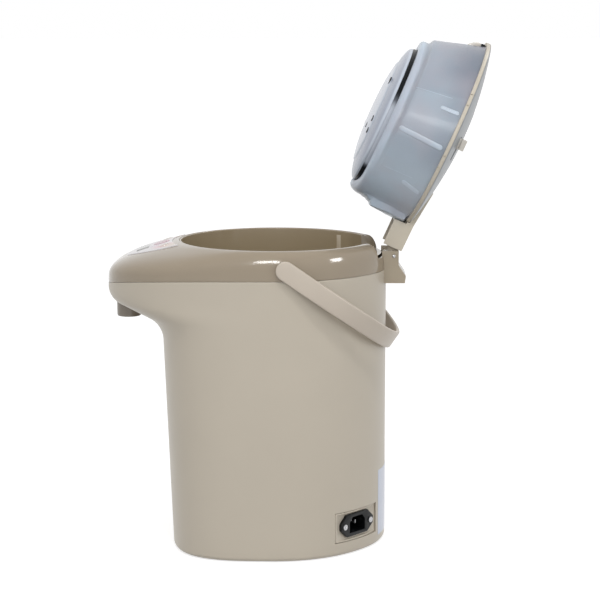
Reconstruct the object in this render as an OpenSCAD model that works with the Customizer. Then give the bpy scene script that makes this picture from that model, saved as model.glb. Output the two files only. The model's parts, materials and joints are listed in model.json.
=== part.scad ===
// Electric thermo pot with an air-pump lid, shown with its lid open.
// Millimetres. +Z is up, the spout points to -Y, the hinge is at +Y.
// The origin is on the table, on the axis of the round back and mouth.

/* [Body] */
// Radius of the round back of the body
body_r = 110; // [106:0.5:118]
// How far the front wall stands beyond the back's radius, just under the nose
front_bulge = 3; // [0:0.5:8]
// How far the front wall leans back on its way down to the floor
base_lean = 8.8; // [5:0.2:11]
// Squareness of the front of the body, 2 is an ellipse
body_square = 3.3; // [2.6:0.1:3.8]
// Wall of the moulded shells
wall = 2.4; // [1.8:0.1:3]
// Radius of the bottom edge
base_r = 8; // [5:0.5:10]
// Height of the line between body and top shell
parting_z = 280; // [276:0.5:284]
// Height of the mouth rim
rim_z = 308.3; // [306:0.1:310]
// Width of the shoulder, from the body's side to the rim's crest
shoulder_w = 10.8; // [10:0.1:11.2]

/* [Nose] */
// How far the tip of the nose stands out of the front wall
nose_out = 57.8; // [50:0.2:65]
// Squareness of the nose, 2 is an ellipse
nose_square = 2.3; // [2:0.1:2.8]
// Angle of the underside above the horizontal
nose_slope = 30.2; // [26:0.2:34]
// Fillet between front wall and underside
root_r = 34; // [24:1:40]
// Rounding of the tip's underside
tip_r = 16; // [10:0.5:20]
// Height at which the tip is upright
tip_z = 258; // [256:0.5:262]
// Height of the parting line at the tip
nose_part_z = 264; // [262:0.5:268]

/* [Collar and liner] */
// Step from the rim's crest in to the collar's bore
collar_in = 3.2; // [3:0.1:3.6]
// Wall of the collar
collar_t = 1.8; // [1.4:0.1:2]
// Height of the collar's lower edge
collar_z = 264; // [260:1:270]
// Step from the collar's bore in to the water container's wall
liner_in = 2; // [1.6:0.1:3]
// Sheet thickness of the container
liner_t = 1; // [0.6:0.1:1.4]
// Height of the container's floor
liner_z = 60; // [56:1:66]
// Half width of the lid's recess in the collar
recess_w = 38; // [34:0.5:42]
// Distance from the back of the recess to the body's side
recess_back = 7; // [6:0.5:8]

/* [Spout and gauge] */
// Distance from the tip of the nose back to the spout's axis
spout_back = 20.5; // [18:0.5:24]
// Outer radius of the spout nozzle
spout_r = 12.5; // [10:0.5:14]
// Height of the spout's mouth
spout_z = 229; // [224:0.5:232]
// Bore radius of the spout
spout_bore = 5; // [4:0.5:6]
// Width of the water gauge window
gauge_w = 14; // [10:1:18]
// Height of the window's lower end
gauge_z0 = 48; // [40:1:70]
// Height of the window's upper end
gauge_z1 = 178; // [150:1:185]

/* [Lid] */
// Step from the rim's crest in to the lid's edge
lid_in = 0.8; // [0.2:0.1:1.6]
// Distance of the hinge pin behind the body
hinge_back = 10.5; // [9:0.5:14]
// Height of the hinge pin
hinge_z = 307.5; // [306:0.5:309]
// Opening angle of the lid
open_angle = 114.3; // [90:0.1:118]
// Height of the lid's crown over the rim
crown_h = 18.5; // [15:0.5:21]
// Height of the lid's edge over the rim
edge_h = 5.2; // [4.6:0.1:7]
// Wall of the lid cover
lid_t = 2.2; // [1.8:0.1:2.6]
// Clearance between the collar and the air-pump case at the rim
case_gap = 1.2; // [1:0.1:2.4]
// Wall of the air-pump case
case_t = 2; // [1.4:0.1:2.4]
// Depth of the case under the rim
case_depth = 59.8; // [56:0.2:66]
// Taper of the case's radius, per mm of depth
case_taper = 0.18; // [0.14:0.01:0.22]
// Shift of the case towards the hinge, per mm of depth
case_shift = 0.13; // [0.1:0.01:0.15]
// Step from the case's lower edge in to the inner lid disc
disc_band = 13.9; // [13:0.1:18]
// Drop of the case's lower lip at the hinge
lip_drop = 6; // [3:0.5:7]
// Bulge of the inner lid disc
disc_bulge = 9; // [6:0.5:11]
// Radius of the press plate
plate_r = 42; // [36:1:46]
// Travel of the press plate
plate_travel = 22; // [16:1:26]

/* [Hinge] */
// Outer half width of the lid arm
arm_w = 20.4; // [19:0.2:22]
// Thickness of the arm's cheeks
arm_t = 2.4; // [2:0.1:3]
// Length of the arm behind the pin
arm_end = 5.6; // [5:0.1:6]
// Height of the arm's web over the pin
arm_top = 10.1; // [9.5:0.1:11]
// Depth of the arm's cheeks under the pin
arm_drop = 9.9; // [9:0.1:10.2]
// Radius of the hinge pin
pin_r = 2.5; // [2:0.1:3]
// Cheek thickness of the hinge bracket
bracket_t = 2.4; // [2:0.1:3]

/* [Handle] */
// Distance of the handle pivots behind the axis
handle_y = 13.2; // [10:0.5:16]
// Height of the handle pivots
handle_z = 290.4; // [288:0.2:293]
// Distance of the resting bail's outer face behind the body
bail_back = 11.95; // [11:0.05:15]
// Width of the bail's strap
strap_w = 19; // [16:0.5:21]
// Thickness of the bail's strap
strap_t = 4.2; // [3.6:0.2:5]
// Corner radius of the bail
bail_r = 70; // [60:1:80]
// Angle of the resting bail under the horizontal
rest_angle = 34.4; // [32:0.2:36]

/* [Power inlet] */
// Direction of the inlet, from +X towards +Y
inlet_az = 50.5; // [45:0.5:56]
// Height of the inlet's centre
inlet_z = 29.5; // [28:0.5:34]
// Width of the inlet's frame
frame_w = 61; // [58:0.5:64]
// Height of the inlet's frame
frame_h = 29.4; // [28:0.2:32]

/* [Hidden] */

// Moving clearance between plastic parts, and the running fit of pins
gap = 0.3;
fit = 0.05;
// Width of the joint lines between shells
seam = 0.2;

// Worked out from the body's radius: the front, the radii inwards and the hinge behind
front_depth = body_r + front_bulge;
base_depth = front_depth - base_lean;
nose_reach = front_depth + nose_out;
spout_y = nose_reach - spout_back;
rim_r = body_r - shoulder_w;
collar_r = rim_r - collar_in;
liner_r = collar_r - liner_in;
recess_r = body_r - recess_back;
lid_r = rim_r - lid_in;
case_r = collar_r - case_gap;
hinge_y = body_r + hinge_back;
handle_reach = (body_r + bail_back - handle_y) / cos(rest_angle);

// Points around each lofted outline
around = 72;
step = 360 / around;

BEIGE = "#b9b0a1";
BROWN = "#9d907d";
SMOKE = [0.62, 0.67, 0.72, 0.6];
OFFWHITE = "#d1d4dc";
STEEL = "silver";
BLACK = "#141618";

function lerp(a, b, t) = a + (b - a) * t;
function clamp01(x) = max(0, min(1, x));
function smooth(x) = let (t = clamp01(x)) t * t * (3 - 2 * t);

// ---- Front wall and nose, seen from the side ----
tip_end_y = nose_reach - tip_r * (1 - sin(nose_slope));
tip_end_z = tip_z - tip_r * cos(nose_slope);
root_corner_z = tip_end_z - (tip_end_y - front_depth) * tan(nose_slope);
root_z0 = root_corner_z - root_r * tan((90 - nose_slope) / 2);
root_z1 = root_z0 + root_r * cos(nose_slope);

function depth_at(z) =
    z <= root_z0 ? lerp(base_depth, front_depth, max(z, 0) / root_z0)
    : z <= root_z1 ? front_depth + root_r - sqrt(pow(root_r, 2) - pow(z - root_z0, 2))
    : z <= tip_end_z ? tip_end_y + (z - tip_end_z) / tan(nose_slope)
    : z < tip_z ? nose_reach - tip_r + sqrt(pow(tip_r, 2) - pow(z - tip_z, 2))
    : nose_reach;
function square_at(z) = lerp(body_square, nose_square,
    clamp01((depth_at(z) - front_depth) / (nose_reach - front_depth)));

// Distance from the axis to a plan's outline in direction a: round behind, superellipse in front
function reach_in(a, r, d, n) = sin(a) >= 0 ? r
    : pow(pow(abs(cos(a)) / r, n) + pow(abs(sin(a)) / d, n), -1 / n);
function plan(z, inset, lift = 0) = [for (i = [0:around - 1]) let (a = i * step)
    reach_in(a, body_r - inset, depth_at(z - lift) - inset, square_at(z - lift))
        * [cos(a), sin(a)]];
// The parting line dips towards the tip of the nose
function part_dir(a) = lerp(parting_z, nose_part_z, smooth((-sin(a) - 0.8) / 0.2));

function level(z, inset, lift = 0) = [for (p = plan(z, inset, lift)) [p[0], p[1], z]];
// A level between the upright part of the tip and the parting line
function top_level(k, inset) = [for (i = [0:around - 1])
    let (a = i * step, r = reach_in(a, body_r - inset, nose_reach - inset, nose_square))
    [r * cos(a), r * sin(a), lerp(tip_z, part_dir(a) - seam / 2, k)]];
// A ring of radius r, its centre shifted along Y
function circle_ring(r, y, z) = [for (i = [0:around - 1])
    [r * cos(i * step), y + r * sin(i * step), z]];

// A closed skin over rings of points, each ring joined to the next
module loft(rings) {
    n = len(rings);
    m = len(rings[0]);
    polyhedron(points = [for (r = rings) each r], faces = [for (j = [0:n - 1], i = [0:m - 1])
        let (a = j * m + i, b = j * m + (i + 1) % m,
             d = ((j + 1) % n) * m + i, c = ((j + 1) % n) * m + (i + 1) % m)
        each [[a, d, c], [a, c, b]]]);
}

// A closed skin over a rectangular grid of upper and lower points
module slab(upper, lower) {
    n = len(upper);
    m = len(upper[0]);
    low = n * m;
    polyhedron(points = concat([for (r = upper) each r], [for (r = lower) each r]),
        faces = concat(
            [for (j = [0:n - 2], i = [0:m - 2]) let (a = j * m + i)
                each [[a, a + m, a + m + 1], [a, a + m + 1, a + 1]]],
            [for (j = [0:n - 2], i = [0:m - 2]) let (a = low + j * m + i)
                each [[a, a + m + 1, a + m], [a, a + 1, a + m + 1]]],
            [for (j = [0:n - 2]) let (a = j * m, b = a + m)
                each [[a, low + b, b], [a, low + a, low + b]]],
            [for (j = [0:n - 2]) let (a = j * m + m - 1, b = a + m)
                each [[a, b, low + b], [a, low + b, low + a]]],
            [for (i = [0:m - 2]) let (a = i, b = i + 1)
                each [[a, b, low + b], [a, low + b, low + a]]],
            [for (i = [0:m - 2]) let (a = (n - 1) * m + i, b = a + 1)
                each [[a, low + b, b], [a, low + a, low + b]]]));
}

module ring(r0, r1, z0, z1) {
    translate([0, 0, z0]) difference() {
        cylinder(r = r1, h = z1 - z0, $fn = 96);
        translate([0, 0, -1]) cylinder(r = r0, h = z1 - z0 + 2, $fn = 96);
    }
}

module rod_x(r, x0, x1) {
    translate([x0, 0, 0]) rotate([0, 90, 0]) cylinder(r = r, h = x1 - x0, $fn = 48);
}

module rod_y(r, y0, y1) {
    translate([0, y0, 0]) rotate([-90, 0, 0]) cylinder(r = r, h = y1 - y0, $fn = 48);
}

// A box given by its low and high corners
module box(a, b) {
    translate(a) cube(b - a);
}

// A wire of radius w wound as a helix of radius r about Z
module coil(r, w, h, turns, seg = 14, sides = 6) {
    n = turns * seg;
    pts = [for (i = [0:n]) for (k = [0:sides - 1])
        let (t = i * 360 / seg, q = k * 360 / sides, rr = r + w * cos(q))
        [rr * cos(t), rr * sin(t), h * i / n + w * sin(q)]];
    polyhedron(points = pts, faces = concat(
        [for (i = [0:n - 1], k = [0:sides - 1])
            let (a = i * sides + k, b = i * sides + (k + 1) % sides)
            each [[a, a + sides, b + sides], [a, b + sides, b]]],
        [[for (k = [0:sides - 1]) k]],
        [[for (k = [sides - 1:-1:0]) n * sides + k]]));
}

// ---- Body shell: bottom fillet, walls, nose underside, inner skin and base flange ----
foot_h = 1.5;
base_t = 3;
flange_z = foot_h + base_t;
flange_t = 2.5;
flange_w = 16;
lip_in = base_r + wall;

module inlet_place() {
    rotate([0, 0, inlet_az]) translate([0, 0, inlet_z]) children();
}

module body_shell() {
    color(BEIGE) difference() {
        loft(concat(
            [for (a = [0:22.5:90]) level(foot_h + base_r * (1 - cos(a)), base_r * (1 - sin(a)))],
            [for (k = [0.5, 1]) level(lerp(foot_h + base_r, root_z0, k), 0)],
            [for (k = [0.3, 0.55, 0.8, 1]) level(lerp(root_z0, root_z1, k), 0)],
            [for (k = [0.5, 1]) level(lerp(root_z1, tip_end_z, k), 0)],
            [for (k = [0.3, 0.65, 1]) level(lerp(tip_end_z, tip_z, k), 0)],
            [for (k = [0.5, 1]) top_level(k, 0)],
            [for (k = [1, 0.3]) top_level(k, wall)],
            [for (k = [0.8, 0.4, 0]) level(lerp(tip_end_z, tip_z, k), wall, wall)],
            [for (k = [1, 0.7, 0.35, 0]) level(lerp(root_z0, root_z1, k) + wall, wall, wall)],
            [level(flange_z + flange_t, wall), level(flange_z + flange_t, wall + flange_w),
             level(flange_z, wall + flange_w), level(flange_z, lip_in), level(foot_h, lip_in)]));
        // window of the water gauge
        gauge_slot(0, front_depth + 5);
        // hole for the spout in the underside of the nose
        translate([0, -spout_y, spout_z - 20]) cylinder(r = spout_r + gap, h = 60, $fn = 64);
        // opening for the inlet's frame
        inlet_place() box([body_r - 25, -frame_w / 2 - seam, -frame_h / 2 - seam],
            [body_r + 5, frame_w / 2 + seam, frame_h / 2 + seam]);
        // screw holes of the hinge bracket
        for (x = bracket_screw_x) translate([x, 0, bracket_screw_z])
            rod_y(bracket_screw_r + gap, body_r - 20, body_r + 5);
    }
}

module gauge_slot(grow, y1) {
    r = gauge_w / 2 + grow;
    for (z = [gauge_z0 + gauge_w / 2, gauge_z1 - gauge_w / 2])
        translate([0, 0, z]) rod_y(r, -y1, -base_depth + 12);
    box([-r, -y1, gauge_z0 + gauge_w / 2], [r, -base_depth + 12, gauge_z1 - gauge_w / 2]);
}

// ---- Top shell: shoulder, collar seat and the crowned top of the nose ----
// Radius of the parting outline in direction a
function plan_radius(a) = reach_in(a, body_r, nose_reach, nose_square);
// How much of the nose's slope and boxier section a direction has
function front_share(a) = smooth((-sin(a) - 0.2) / 0.7);
nose_box = 4;
shoulder_box = 2.6;
slope_share = 0.45;
function box_at(a) = lerp(shoulder_box, nose_box, front_share(a));
function slope_at(a) = slope_share * front_share(a);
// Height of the top surface, f of the way from the outline to the rim
function top_rise(f, a) = let (c = pow(1 - f, box_at(a) / 2), s = sqrt(max(0, 1 - c * c)))
    (1 - slope_at(a)) * pow(s, 2 / box_at(a)) + slope_at(a) * f;
function top_z(x, y, lift = 0) = let (a = atan2(y, x), r0 = plan_radius(a),
    f = clamp01((r0 - norm([x, y])) / (r0 - rim_r)))
    lerp(part_dir(a), rim_z, top_rise(f, a)) + lift;

// One ring of the top shell: f runs from the outline to the rim, drawn in by the wall
function top_ring(f, in = 0) = [for (i = [0:around - 1])
    let (a = i * step, r = lerp(plan_radius(a) - in, rim_r + in / 2, f), z0 = part_dir(a) + seam / 2)
    [r * cos(a), r * sin(a), lerp(z0, rim_z - in, top_rise(f, a))]];
lip_r = collar_r + collar_t + seam;
lip_z = rim_z - 6;

module top_shell() {
    color(BROWN) difference() {
        loft(concat(
            [for (f = [0, 0.012, 0.04, 0.1, 0.2, 0.34, 0.52, 0.74, 0.92, 1]) top_ring(f)],
            [circle_ring(lip_r + 0.4, 0, rim_z - 0.4), circle_ring(lip_r, 0, rim_z - 1.4),
             circle_ring(lip_r, 0, lip_z), circle_ring(lip_r + 1.6, 0, lip_z)],
            [for (f = [0.94, 0.62, 0.3, 0.1, 0.03, 0]) top_ring(f, wall)]));
        // notch for the lid arm and its seat
        box([-recess_w - 2 - seam, 60, seat_z - 2 - seam],
            [recess_w + 2 + seam, body_r + 5, rim_z + 5]);
        for (x = [-1, 1]) translate([0, handle_y, handle_z])
            rod_x(pivot_r + gap, min(x, 0) * (body_r + 5), max(x, 0) * (body_r + 5));
        for (b = buttons) button_place(b) cylinder(r = b[2] + gap, h = 40, center = true, $fn = 64);
        lens_place() box([-lens_w / 2 - gap, -lens_l / 2 - gap, -20],
            [lens_w / 2 + gap, lens_l / 2 + gap, 20]);
    }
}

module collar() {
    color(BROWN) difference() {
        union() {
            ring(collar_r, collar_r + collar_t, collar_z, rim_z - 0.5);
            ring(liner_r + 1.6, collar_r + collar_t, collar_z, collar_z + 2);
        }
        box([-recess_w - 2 - seam, 20, collar_z - 1], [recess_w + 2 + seam, body_r, rim_z + 1]);
    }
}

// Recess behind the collar that takes the lid's rear lug and its arm
seat_z = hinge_z - 12;

module hinge_seat() {
    color(BROWN) difference() {
        intersection() {
            rotate_extrude($fn = 120) polygon(concat(
                [[collar_r, rim_z - 0.5], [collar_r, collar_z], [recess_r + 2, collar_z],
                 [recess_r + 2, seat_z - 2]],
                [for (f = [0.03, 0.1, 0.2, 0.34, 0.52, 0.74, 0.92, 1])
                    if (lerp(parting_z, rim_z, top_rise(f, 90)) > seat_z - 2)
                    [lerp(body_r, rim_r, f), lerp(parting_z, rim_z, top_rise(f, 90))]]));
            box([-recess_w - 2, 20, 0], [recess_w + 2, body_r, rim_z]);
        }
        // recess for the lug
        intersection() {
            translate([0, 0, collar_z + 2]) cylinder(r = recess_r, h = 60, $fn = 120);
            box([-recess_w, 20, 0], [recess_w, body_r, rim_z + 1]);
        }
        // open top towards the hinge
        box([-recess_w, 20, seat_z], [recess_w, body_r + 5, rim_z + 1]);
    }
}

// ---- Water container and its supports ----
liner_top = collar_z - 2;
liner_corner = 14;
drain_y = 58;
tube_r = 6;

module liner() {
    color(STEEL) difference() {
        rotate_extrude($fn = 120) difference() {
            union() {
                liner_outline(liner_r + liner_t, liner_z);
                translate([0, liner_top - liner_t]) square([collar_r + collar_t, liner_t]);
            }
            translate([0, liner_t]) liner_outline(liner_r, liner_z);
        }
        translate([0, -drain_y, liner_z - 1]) cylinder(r = tube_r - 1.5, h = 5, $fn = 48);
    }
}

// Half section of a round pot with a rounded bottom edge
module liner_outline(r, z) {
    translate([0, z]) square([r - liner_corner, liner_top - z]);
    translate([0, z + liner_corner]) square([r, liner_top - z - liner_corner]);
    intersection() {
        translate([r - liner_corner, z + liner_corner]) circle(r = liner_corner, $fn = 64);
        square([r, liner_top]);
    }
}

module liner_gasket() {
    color("dimgray") difference() {
        ring(liner_r + 1.6, collar_r + collar_t, liner_top, collar_z);
        box([-recess_w - 2 - seam, 20, 0], [recess_w + 2 + seam, body_r, rim_z]);
    }
    color("dimgray") intersection() {
        ring(liner_r + 1.6, collar_r + collar_t, liner_top, collar_z - seam);
        box([-recess_w - 2, 20, 0], [recess_w + 2, body_r, rim_z]);
    }
}

stand_r = liner_r - 18;

module liner_stand() {
    color(STEEL) {
        for (a = [30, 150, 210, 330]) rotate([0, 0, a]) translate([stand_r, 0, flange_z])
            cylinder(r = 4, h = liner_z - 2 - flange_z, $fn = 32);
        ring(stand_r - 8, stand_r + 2, liner_z - 2, liner_z);
    }
}

heater_r = 46;
heater_in = 18;
heater_t = 8;

module base_heater() {
    color("#8a8f96") ring(heater_in, heater_r, liner_z - heater_t, liner_z);
}

// Height of the band heater, and of its lower edge
band_h = 40;
band_z = liner_z + liner_corner + 4;

module band_heater() {
    color("#c9b26a") difference() {
        ring(liner_r + liner_t + 0.1, liner_r + liner_t + 1.3, band_z, band_z + band_h);
        // gap for the riser
        box([-8, -body_r, 0], [8, -liner_r / 2, liner_top]);
    }
}

module thermostat() {
    color("#202326") translate([0, 0, liner_z - 7]) cylinder(r = 8, h = 7, $fn = 48);
    color(STEEL) translate([0, 0, liner_z - 12]) cylinder(r = 3, h = 5, $fn = 32);
}

module thermal_fuse() {
    color("white") translate([-22, 52, liner_z - 2.5]) rod_x(2.5, 0, 44);
}

// ---- Base ----
module base_cover() {
    color(BEIGE) difference() {
        translate([0, 0, foot_h]) linear_extrude(base_t)
            polygon(plan(foot_h, lip_in + gap));
        for (p = base_screw_at) translate([p[0], p[1], 0])
            cylinder(r = 1.8, h = 20, $fn = 32);
    }
}

base_screw_r = body_r - wall - flange_w / 2 - 3;
base_screw_at = [for (a = [20, 90, 160, 215, 325]) base_screw_r * [cos(a), sin(a)]];

foot_r = body_r - 26;
foot_w = 12;

module foot_ring() {
    color("#3a3a3c") ring(foot_r - foot_w, foot_r, 0, foot_h);
}

module base_screws() {
    color(STEEL) for (p = base_screw_at) translate([p[0], p[1], foot_h - 1])
        difference() {
            union() {
                cylinder(r = 3.2, h = 1, $fn = 32);
                cylinder(r = 1.7, h = base_t + 1, $fn = 32);
            }
            translate([-2.4, -0.4, -0.1]) cube([4.8, 0.8, 0.6]);
        }
}

// ---- Electric pump and water path ----
pump_y = drain_y;
pump_z = 32;
pump_r = 22;
riser_top = 246;
bend_r = 8;
// The riser fills the space between container and front wall, with a clearance on both sides
riser_clear = 1.05;
riser_space = min(depth_at(pump_z + 7 + bend_r), front_depth) - wall - (liner_r + liner_t);
riser_y = liner_r + liner_t + riser_space / 2;
riser_r = riser_space / 2 - riser_clear;
riser_bore = 0.65 * riser_r;
valve_y = riser_y + bend_r + 8;

module pump_housing() {
    color("#e4e4de") translate([0, -pump_y, pump_z]) difference() {
        union() {
            cylinder(r = pump_r, h = 14, $fn = 64);
            translate([0, 0, 14]) cylinder(r = tube_r, h = 5, $fn = 48);
            translate([0, 0, 7]) rod_y(riser_r, -pump_r - 6, -pump_r + 4);
        }
        translate([0, 0, 2]) cylinder(r = pump_r - 2, h = 10, $fn = 64);
        cylinder(r = tube_r - 1.5, h = 30, $fn = 48);
        translate([0, 0, 7]) rod_y(riser_bore - 0.2, -pump_r - 7, -pump_r + 6);
    }
}

module pump_motor() {
    color("#9a9ca0") translate([0, -pump_y, flange_z]) {
        cylinder(r = 16, h = pump_z - flange_z, $fn = 64);
    }
}

module pump_impeller() {
    color("#3c6ea8") translate([0, -pump_y, pump_z + 2.5]) {
        cylinder(r = pump_r - 4, h = 1.6, $fn = 64);
        cylinder(r = 3.4, h = 8.6, $fn = 48);
        for (a = [0:60:300]) rotate([0, 0, a]) translate([3, -0.7, 1.6]) cube([14, 1.4, 6]);
    }
}

module suction_tube() {
    color([0.9, 0.9, 0.88]) translate([0, -drain_y, pump_z + 19]) difference() {
        cylinder(r = tube_r, h = liner_z - pump_z - 19, $fn = 48);
        translate([0, 0, -1]) cylinder(r = tube_r - 1.5, h = 30, $fn = 48);
    }
}

// A planar tube path: y, z and heading of each point
function bend(c, r, a0, a1, n = 6) = [for (i = [0:n]) let (a = a0 + (a1 - a0) * i / n)
    [c[0] + r * cos(a), c[1] + r * sin(a), a + (a1 > a0 ? 90 : -90)]];
function tube_ring(p, r) = [for (k = [0:11]) let (q = k * 30)
    [r * cos(q), p[0] + r * sin(q) * sin(p[2]), p[1] - r * sin(q) * cos(p[2])]];

module tube(path, r0, r1) {
    n = len(path);
    loft(concat([for (p = path) tube_ring(p, r1)],
        [for (i = [n - 1:-1:0]) tube_ring(path[i], r0)]));
}

module riser_tube() {
    z0 = pump_z + 7;
    color([0.86, 0.9, 0.92]) tube(concat([[-pump_y - pump_r - 6, z0, 180]],
        bend([-riser_y + bend_r, z0 + bend_r], bend_r, -90, -180),
        bend([-riser_y - bend_r, riser_top - bend_r], bend_r, 0, 90)), riser_bore, riser_r);
}

module tip_valve() {
    color("#e4e4de") translate([0, -valve_y, riser_top - 8]) difference() {
        cylinder(r = 8, h = 30, $fn = 48);
        translate([0, 0, 2]) cylinder(r = 6, h = 26, $fn = 48);
        translate([0, 0, 8]) rod_y(riser_bore, 0, 10);
        translate([0, 0, 22]) rod_y(riser_bore, -10, 0);
    }
}

outlet_z = riser_top + 14;

module outlet_tube() {
    r = outlet_z - spout_z - nozzle_h;
    color([0.86, 0.9, 0.92]) tube(concat([[-valve_y - 8, outlet_z, 180]],
        bend([-spout_y + r, outlet_z - r], r, 90, 180)), riser_r - 0.8, riser_r + 0.6);
}

nozzle_h = 24;

module spout_nozzle() {
    color("#a59d94") translate([0, -spout_y, spout_z]) difference() {
        rotate_extrude($fn = 96) polygon([[0, 0], [spout_r - 1.6, 0], [spout_r - 0.6, 0.5],
            [spout_r - 0.2, 1.6], [spout_r, nozzle_h], [0, nozzle_h]]);
        translate([0, 0, -1]) cylinder(r = spout_bore, h = nozzle_h + 2, $fn = 64);
        translate([0, 0, -1]) cylinder(r = spout_r - 3, h = 5, $fn = 64);
    }
}

module gauge_window() {
    color([0.8, 0.86, 0.9, 0.5]) intersection() {
        gauge_slot(-gap, front_depth + 5);
        loft([level(gauge_z0 - 5, 0.2), level(gauge_z1 + 5, 0.2),
              level(gauge_z1 + 5, wall), level(gauge_z0 - 5, wall)]);
    }
}

// ---- Control panel on the nose ----
panel_r = rim_r + 6;
panel_w = 44;
panel_front = nose_reach - 15.8;
panel_t = 0.8;
// Buttons: x, y and radius
buttons = [[0, -panel_r - 10.8, 8.5], [-24, -panel_r - 6.8, 5.5], [24, -panel_r - 6.8, 5.5]];
lens_y = -panel_front + 21;
// The buttons and the display lean as the panel does between them
button_tilt = atan((top_z(0, buttons[0][1]) - top_z(0, lens_y)) / (buttons[0][1] - lens_y));
lens_w = 30;
lens_l = 13;
// The display stands on the board, this far under the panel
board_drop = 8.4;

function panel_pt(u, v, lift) = let (x = panel_w * sin(90 * v),
    y0 = -sqrt(pow(panel_r, 2) - x * x),
    y1 = -lerp(panel_r, panel_front, sqrt(max(0, 1 - pow(x / panel_w, 2)))) + 3,
    y = lerp(y0, y1, u)) [x, y, top_z(x, y, lift)];
function panel_grid(lift) = [for (u = [0:0.125:1])
    [for (v = [-1:0.125:1]) panel_pt(u, v, lift)]];

module button_place(b) {
    translate([b[0], b[1], top_z(b[0], b[1])]) rotate([button_tilt, 0, 0]) children();
}

module lens_place() {
    translate([0, lens_y, top_z(0, lens_y)]) rotate([button_tilt, 0, 0]) children();
}

module control_panel() {
    color("#c9c6cb") difference() {
        slab(panel_grid(panel_t), panel_grid(0.1));
        for (b = buttons) button_place(b)
            cylinder(r = b[2] + gap, h = 20, center = true, $fn = 64);
        lens_place() box([-lens_w / 2 - gap, -lens_l / 2 - gap, -10],
            [lens_w / 2 + gap, lens_l / 2 + gap, 10]);
    }
}

module indicator_window() {
    color("#7f8a82") lens_place() {
        box([-lens_w / 2, -lens_l / 2, -board_drop], [lens_w / 2, lens_l / 2, panel_t + 0.2]);
    }
}

module button(b) {
    button_place(b) {
        translate([0, 0, -5]) cylinder(r = b[2], h = 5 + panel_t + 1.4, $fn = 64);
        translate([0, 0, -6]) cylinder(r = b[2] + 1.6, h = 1, $fn = 64);
    }
}

module dispense_button() {
    color("#b98f9c") button(buttons[0]);
}

module reboil_button() {
    color("#d9d4cc") button(buttons[1]);
}

module unlock_button() {
    color("#d9d4cc") button(buttons[2]);
}

module control_board() {
    color("#2f6a45") lens_place() translate([0, 9, -board_drop - board_t])
        box([-32, -17, 0], [32, 19, board_t]);
}

// Corners of the power board, and the height that its posts hold it at
power_x = [-40, 30];
power_y = [20, 62];
power_z = 20;
board_t = 1.6;

// A board on four posts, with its transformer and relay
module power_board() {
    top = power_z + board_t;
    color("#2f6a45") box([power_x[0], power_y[0], power_z], [power_x[1], power_y[1], top]);
    color("#c9a23c") box([power_x[0] + 10, power_y[0] + 8, top],
        [power_x[0] + 30, power_y[1] - 14, top + 16.4]);
    color("#1c1c1e") box([power_x[1] - 30, power_y[0] + 8, top],
        [power_x[1] - 16, power_y[1] - 18, top + 12.4]);
    color("#e4e4de") for (x = [power_x[0] + 4, power_x[1] - 4], y = [power_y[0] + 4, power_y[1] - 4])
        translate([x, y, flange_z]) cylinder(r = 3, h = power_z - flange_z, $fn = 32);
}

// ---- Power inlet ----
frame_face = sqrt(pow(body_r, 2) - pow(frame_w / 2, 2));
flange_half = 25;
screw_half = 20;

module inlet_frame() {
    color(BEIGE) difference() {
        intersection() {
            inlet_place() box([frame_face - 3, -frame_w / 2, -frame_h / 2],
                [body_r + 5, frame_w / 2, frame_h / 2]);
            cylinder(r = body_r, h = 100, $fn = 180);
        }
        inlet_place() {
            box([frame_face, -frame_w / 2 + 1, -frame_h / 2 + 1],
                [body_r + 5, frame_w / 2 - 1, frame_h / 2 - 1]);
            box([frame_face - 5, -14.2, -10.2], [frame_face + 5, 14.2, 10.2]);
            for (y = [-screw_half, screw_half]) translate([frame_face - 5, y, 0])
                rod_x(1.6 + gap, 0, 10);
        }
    }
}

// Outline of the inlet's flange, a long hexagon with rounded ears
module inlet_flange() {
    difference() {
        polygon([[-flange_half, -3.4], [-16, -11.3], [16, -11.3], [flange_half, -3.4],
            [flange_half, 3.4], [16, 11.3], [-16, 11.3], [-flange_half, 3.4]]);
        for (x = [-screw_half, screw_half]) translate([x, 0]) circle(r = 1.75, $fn = 32);
    }
}

// The cavity has two bevelled corners, as the plug has
module inlet_cavity() {
    polygon([[-12, -8], [12, -8], [12, 3], [7.5, 8], [-7.5, 8], [-12, 3]]);
}

module inlet_axes() {
    inlet_place() translate([frame_face, 0, 0]) rotate([90, 0, 90]) children();
}

module power_inlet() {
    color(BLACK) inlet_axes() difference() {
        union() {
            linear_extrude(3) inlet_flange();
            translate([-14, -10, -22]) cube([28, 20, 22.1]);
        }
        translate([0, 0, -16]) linear_extrude(30) inlet_cavity();
        for (x = [-7, 0, 7]) translate([x - 1.05, (x == 0 ? 3 : -1) - 2.05, -23])
            cube([2.1, 4.1, 10]);
    }
}

module inlet_pins() {
    color(STEEL) inlet_axes() for (x = [-7, 0, 7])
        translate([x - 1, (x == 0 ? 3 : -1) - 2, -26]) cube([2, 4, 21]);
}

module inlet_screws() {
    color(STEEL) inlet_axes() for (x = [-screw_half, screw_half]) translate([x, 0, 0])
        difference() {
            union() {
                translate([0, 0, 3]) cylinder(r = 2.9, h = 1.5, $fn = 32);
                translate([0, 0, -5]) cylinder(r = 1.55, h = 9, $fn = 32);
            }
            translate([-2, -0.4, 3.9]) cube([4, 0.8, 1]);
            translate([-0.4, -2, 3.9]) cube([0.8, 4, 1]);
        }
}

// ---- Hinge ----
bracket_top = hinge_z - 8.5;
bracket_low = hinge_z - 41.2;
bracket_back = hinge_y + 4.1;
foot_back = hinge_y + 11.5;
bracket_in = arm_w + 0.6;
bracket_out = bracket_in + bracket_t;
ear_out = arm_w - arm_t - 1;
ear_in = ear_out - 5;
ear_r = 6.5;
bracket_screw_x = [-12, 12];
bracket_screw_z = bracket_low + 6.2;
bracket_screw_r = 1.8;

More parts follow.
